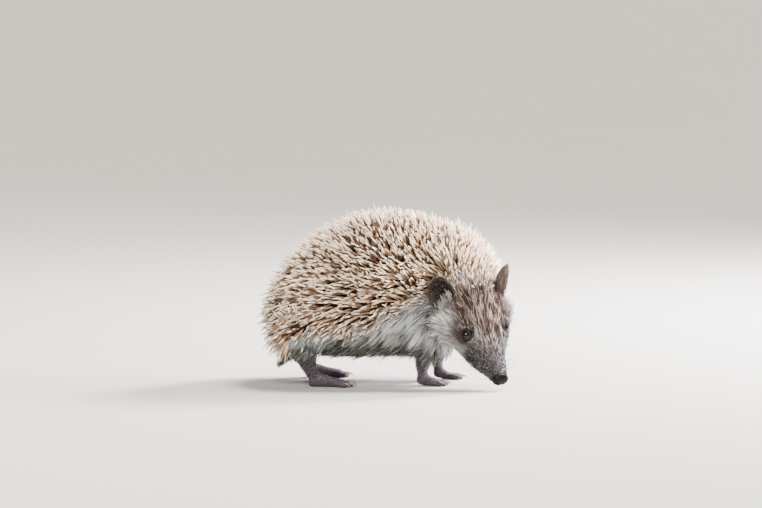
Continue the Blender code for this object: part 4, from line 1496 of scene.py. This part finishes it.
eyeLook = {
    "pupil": tone(4, 4, 5), "iris": tone(16, 12, 12), "white": tone(9, 8, 8),
    "pupilEdge": (0.86, 0.90), "whiteEdge": (0.62, 0.52),      # as the cosine of the angle from the gaze
    "lidDark": tone(10, 8, 8), "lidPale": tone(34, 28, 27),
}


def eyePaint():
    # a black pupil in a very dark brown iris, under a clear wet surface
    paint, look = Paint("eyeBall", Roughness=0.05, Specular_IOR_Level=0.3), eyeLook
    gaze = paint.number("gaze")
    iris = paint.mix(paint.ease(gaze, *look["pupilEdge"]), look["iris"], look["pupil"])
    cloudy = paint.noise(paint.spot(), 0.7, 1.0)
    colour = paint.mix(paint.ease(gaze, *look["whiteEdge"]), iris, look["white"])
    paint.colour(paint.shaded(colour, cloudy * 0.4 + 0.6))
    return paint.material


def lidPaint():
    # nearly black skin with a fine grain
    paint = Paint("lidSkin", Specular_IOR_Level=0.2)
    spot = paint.spot()
    grain = paint.noise(spot, 2.5, 4.0)
    paint.colour(paint.mix(grain, eyeLook["lidDark"], eyeLook["lidPale"]))
    paint.rough(0.4 + grain * 0.2)
    paint.bump(grain + paint.noise(spot, 6.0, 2.0) * 0.5, 0.00015, 0.6)
    return paint.material


# Across a lid: the angle past its inner edge, in degrees, and the distance from the eye's middle.
lidProfile = (
    (0.0, 3.52), (0.5, 3.66), (2.5, 3.80), (6.0, 3.90), (10.0, 3.92), (16.0, 4.02), (24.0, 4.0),
    (34.0, 3.5), (42.0, 3.1), (28.0, 2.9), (10.0, 3.2), (0.0, 3.52),
)


def makeEyes():
    # ball(b, a) = radius (1 + cornea) (cos b, sin b cos a, sin b sin a), with the cornea round b = 0
    # lid(s, a) = r(s) (cos b, sin b cos a, sin b sin a), b = asin(opening(a) / r) + profile angle
    form, ball, lid = eyeForm, eyePaint(), lidPaint()
    rings, sides = form["rings"], form["sides"]
    b, a = np.linspace(0.0, np.pi, rings)[:, None], around(sides)
    ballShape = ballPoints(form["radius"] + form["cornea"] * hump(b, 0.0, form["corneaWidth"]), b, a)
    angle, radius = np.array(lidProfile).T[:, :, None]
    wide, high = form["opening"]
    opening = 1.0 / np.sqrt((np.cos(a) / wide) ** 2 + (np.sin(a) / high) ** 2)
    opening = np.minimum(opening * (1.0 + form["corners"] * np.cos(a) ** 8), form["widest"])
    lidShape = ballPoints(radius, np.arcsin(opening / form["lidRadius"]) + np.radians(angle), a)
    for name, (middle, axes) in eyeFrames().items():
        eye = smoothPiece("eyeball_" + name, ballShape @ axes + middle, gridFaces(rings, sides),
                          ball, "wet", "eye_" + name)
        points = np.empty(len(eye.data.vertices) * 3, np.float32)
        eye.data.vertices.foreach_get("co", points)
        addAttribute(eye.data, "gaze", unit(points.reshape(-1, 3) / mm - middle) @ axes[0])
        smoothPiece("eyelids_" + name, lidShape @ axes + middle, gridFaces(len(lidProfile), sides),
                    lid, "dark_skin")


makeEyes()


# The nose pad.

nose = {
    "size": (7.0, 10.2, 7.8), "squareness": 0.92, "rings": 64, "sides": 96,
    "nostril": (3.2, 0.0), "nostrilDepth": 1.7,      # aside and up
    "slit": 0.62, "wing": 0.28, "groove": 0.55, "dip": 0.22,
    "dark": tone(3, 3, 4), "pale": tone(16, 14, 15),
}


def nosePaint():
    # black leather with fine pores, hardly shining
    paint = Paint("noseLeather", Specular_IOR_Level=0.12, Coat_Weight=0.06, Coat_Roughness=0.2)
    spot = paint.spot()
    pores, worn = paint.cells(spot, 2.6), paint.noise(spot, 0.8, 3.0)
    paint.colour(paint.mix(pores * worn, nose["dark"], nose["pale"]))
    paint.rough(0.32 + worn * 0.2)
    paint.bump(pores + worn * 0.4, 0.0001, 0.6)
    return paint.material


def makeNose():
    # pad(b, a) = an ellipsoid, less two pits, their slits to the side, and a groove down the middle
    form = nose
    size = np.array(form["size"])
    ball = ballPoints(1.0, np.linspace(0.0, np.pi, form["rings"])[:, None], around(form["sides"]))
    local = np.sign(ball) * np.abs(ball) ** form["squareness"] * size / 2.0
    x, y, z = local.T
    outward = unit(local / size ** 2)
    aside, above = form["nostril"]
    pit = hump(np.abs(y), aside, 0.85) * hump(z, above, 0.62)
    slit = form["slit"] * hump(np.abs(y), aside + 1.3, 0.9) * hump(z, above - 0.25, 0.34) * ease(x, -1.2, 0.2)
    wing = form["wing"] * hump(np.abs(y), aside + 0.1, 1.3) * hump(z, above + 1.25, 0.6)
    groove = form["groove"] * hump(y, 0.0, 0.42) * ease(z, 1.6, -0.6)
    dip = form["dip"] * hump(y, 0.0, 1.4) * ease(z, -0.5, 2.0)
    depth = form["nostrilDepth"] * np.maximum(pit, slit * 0.8)
    lift = (wing - depth - groove - dip) * ease(x, -0.5, 0.8)
    points = (local + outward * lift[:, None]) @ headAxes + noseMiddle
    smoothPiece("nosePad", points, gridFaces(form["rings"], form["sides"]), nosePaint(), "wet", "nose")


makeNose()


# Claws.

claws = {
    "from": 4.9, "height": 2.2, "length": 5.2, "rise": 0.5, "fall": 2.5, "radius": 0.8,
    "rings": 12, "sides": 10,
    "dark": tone(108, 92, 80), "pale": tone(176, 158, 138),
}


def clawPaint():
    # tan horn in streaks
    paint = Paint("clawHorn", Coat_Weight=0.2, Coat_Roughness=0.3)
    streaks = paint.noise(paint.spot(), 1.4, 3.0)
    paint.colour(paint.mix(streaks, claws["dark"], claws["pale"]))
    paint.rough(0.35 + streaks * 0.15)
    paint.bump(streaks, 0.0001, 0.4)
    return paint.material


def makeClaws():
    # claw(t) runs forward from the toe, up a little and down to its tip; its radius falls as (1 - t)^0.8
    form = claws
    t, a = np.linspace(0.0, 1.0, form["rings"])[:, None], around(form["sides"])
    size = form["radius"] * np.maximum(1.0 - t, 0.0) ** 0.8 * ease(t, -0.3, 0.05)
    size[0] = 0.0
    height = form["height"] + 4.0 * form["rise"] * t * (1.0 - t) - form["fall"] * t ** 2 * 0.65
    local = gridPoints(form["from"] + form["length"] * t, size * np.cos(a) * 0.8, height + size * np.sin(a))
    faces = gridFaces(form["rings"], form["sides"])
    points, quads = joined([(local @ own + root, faces) for foot in feetPlaces().values()
                            for root, own in toePlaces(*foot)])
    points[:, 2] = np.maximum(points[:, 2], 0.05)
    smoothPiece("claws", points, quads, clawPaint(), "dark_skin")


makeClaws()
print("eyes, nose and claws: done")


# Floor, light and camera.

stand = {
    "floorSize": 60.0, "floorTone": tone(166, 163, 158),
    "worldTone": tone(220, 224, 230), "worldStrength": 0.55,
    # place, size, power and tone of each soft lamp, all aimed at the animal
    "lamps": {
        "front": ((-0.3, -0.85, 0.8), 0.7, 21.0, tone(252, 250, 248)),
        "rim": ((0.75, 0.65, 0.65), 0.3, 130.0, tone(250, 250, 255)),
        "side": ((0.95, 0.12, 0.2), 0.3, 80.0, tone(252, 250, 255)),
    },
    "mirrored": "front",                    # the only one that the eyes and the nose show
    "sunTurn": (-16.0, 20.0, 0.0), "sunPower": 9.0, "sunAngle": 18.0, "sunTone": tone(255, 247, 236),
    "lens": 200.0, "distance": 2.6246, "elevation": 4.0,
    "aim": (-0.00435, 0.0038, 0.0796),      # from the middle of the box, and above the floor
}


def addItem(name, data):
    # a lamp or the camera, in the scene
    item = bpy.data.objects.new(name, data)
    bpy.context.scene.collection.objects.link(item)
    return item


def aimed(item, place, target):
    # the item at its place, looking at the target
    item.location = place
    item.rotation_euler = (target - item.location).to_track_quat("-Z", "Y").to_euler()


def makeFloor():
    # a plain pale floor, hardly clouded
    bpy.ops.mesh.primitive_plane_add(size=stand["floorSize"])
    floor = bpy.context.object
    floor.name = "floor"
    paint = Paint("floorPaint")
    cloudy = paint.noise(paint.spot(), 0.003, 2.0)
    paint.colour(paint.shaded(stand["floorTone"], cloudy * 0.04 + 0.96))
    paint.rough(0.75 + cloudy * 0.05)
    floor.data.materials.append(paint.material)


def makeLight(middle):
    # an even sky, soft lamps round the animal and a wide sun
    form = stand
    world = bpy.data.worlds.new("studio")
    bpy.context.scene.world = world
    world.use_nodes = True
    background = world.node_tree.nodes["Background"]
    background.inputs["Color"].default_value = form["worldTone"]
    background.inputs["Strength"].default_value = form["worldStrength"]
    for name, (place, size, power, colour) in form["lamps"].items():
        lamp = addItem(name + "Lamp", bpy.data.lights.new(name, "AREA"))
        lamp.data.shape, lamp.data.size, lamp.data.energy = "DISK", size, power
        lamp.data.color = colour[:3]
        lamp.visible_camera = False
        lamp.visible_glossy = name == form["mirrored"]
        aimed(lamp, place, middle)
    sun = addItem("sunLamp", bpy.data.lights.new("sun", "SUN"))
    sun.data.energy = form["sunPower"]
    sun.data.angle = math.radians(form["sunAngle"])
    sun.data.color = form["sunTone"][:3]
    sun.rotation_euler = [math.radians(angle) for angle in form["sunTurn"]]


def makeCamera(middle):
    # at its distance from the point it aims at, and as far above it as its elevation asks
    form = stand
    camera = addItem("camera", bpy.data.cameras.new("camera"))
    camera.data.lens = form["lens"]
    across, back, height = form["aim"]
    target = middle.copy()
    target.x, target.y, target.z = middle.x + across, middle.y + back, cadBox[0].z + height
    rise = math.radians(form["elevation"])
    away = target.copy()
    away.y -= math.cos(rise) * form["distance"]
    away.z += math.sin(rise) * form["distance"]
    aimed(camera, away, target)
    bpy.context.scene.camera = camera


boxMidpoint = (cadBox[0] + cadBox[1]) / 2.0
makeFloor()
makeLight(boxMidpoint)
makeCamera(boxMidpoint)
bpy.context.view_layer.update()
print("stage: done")
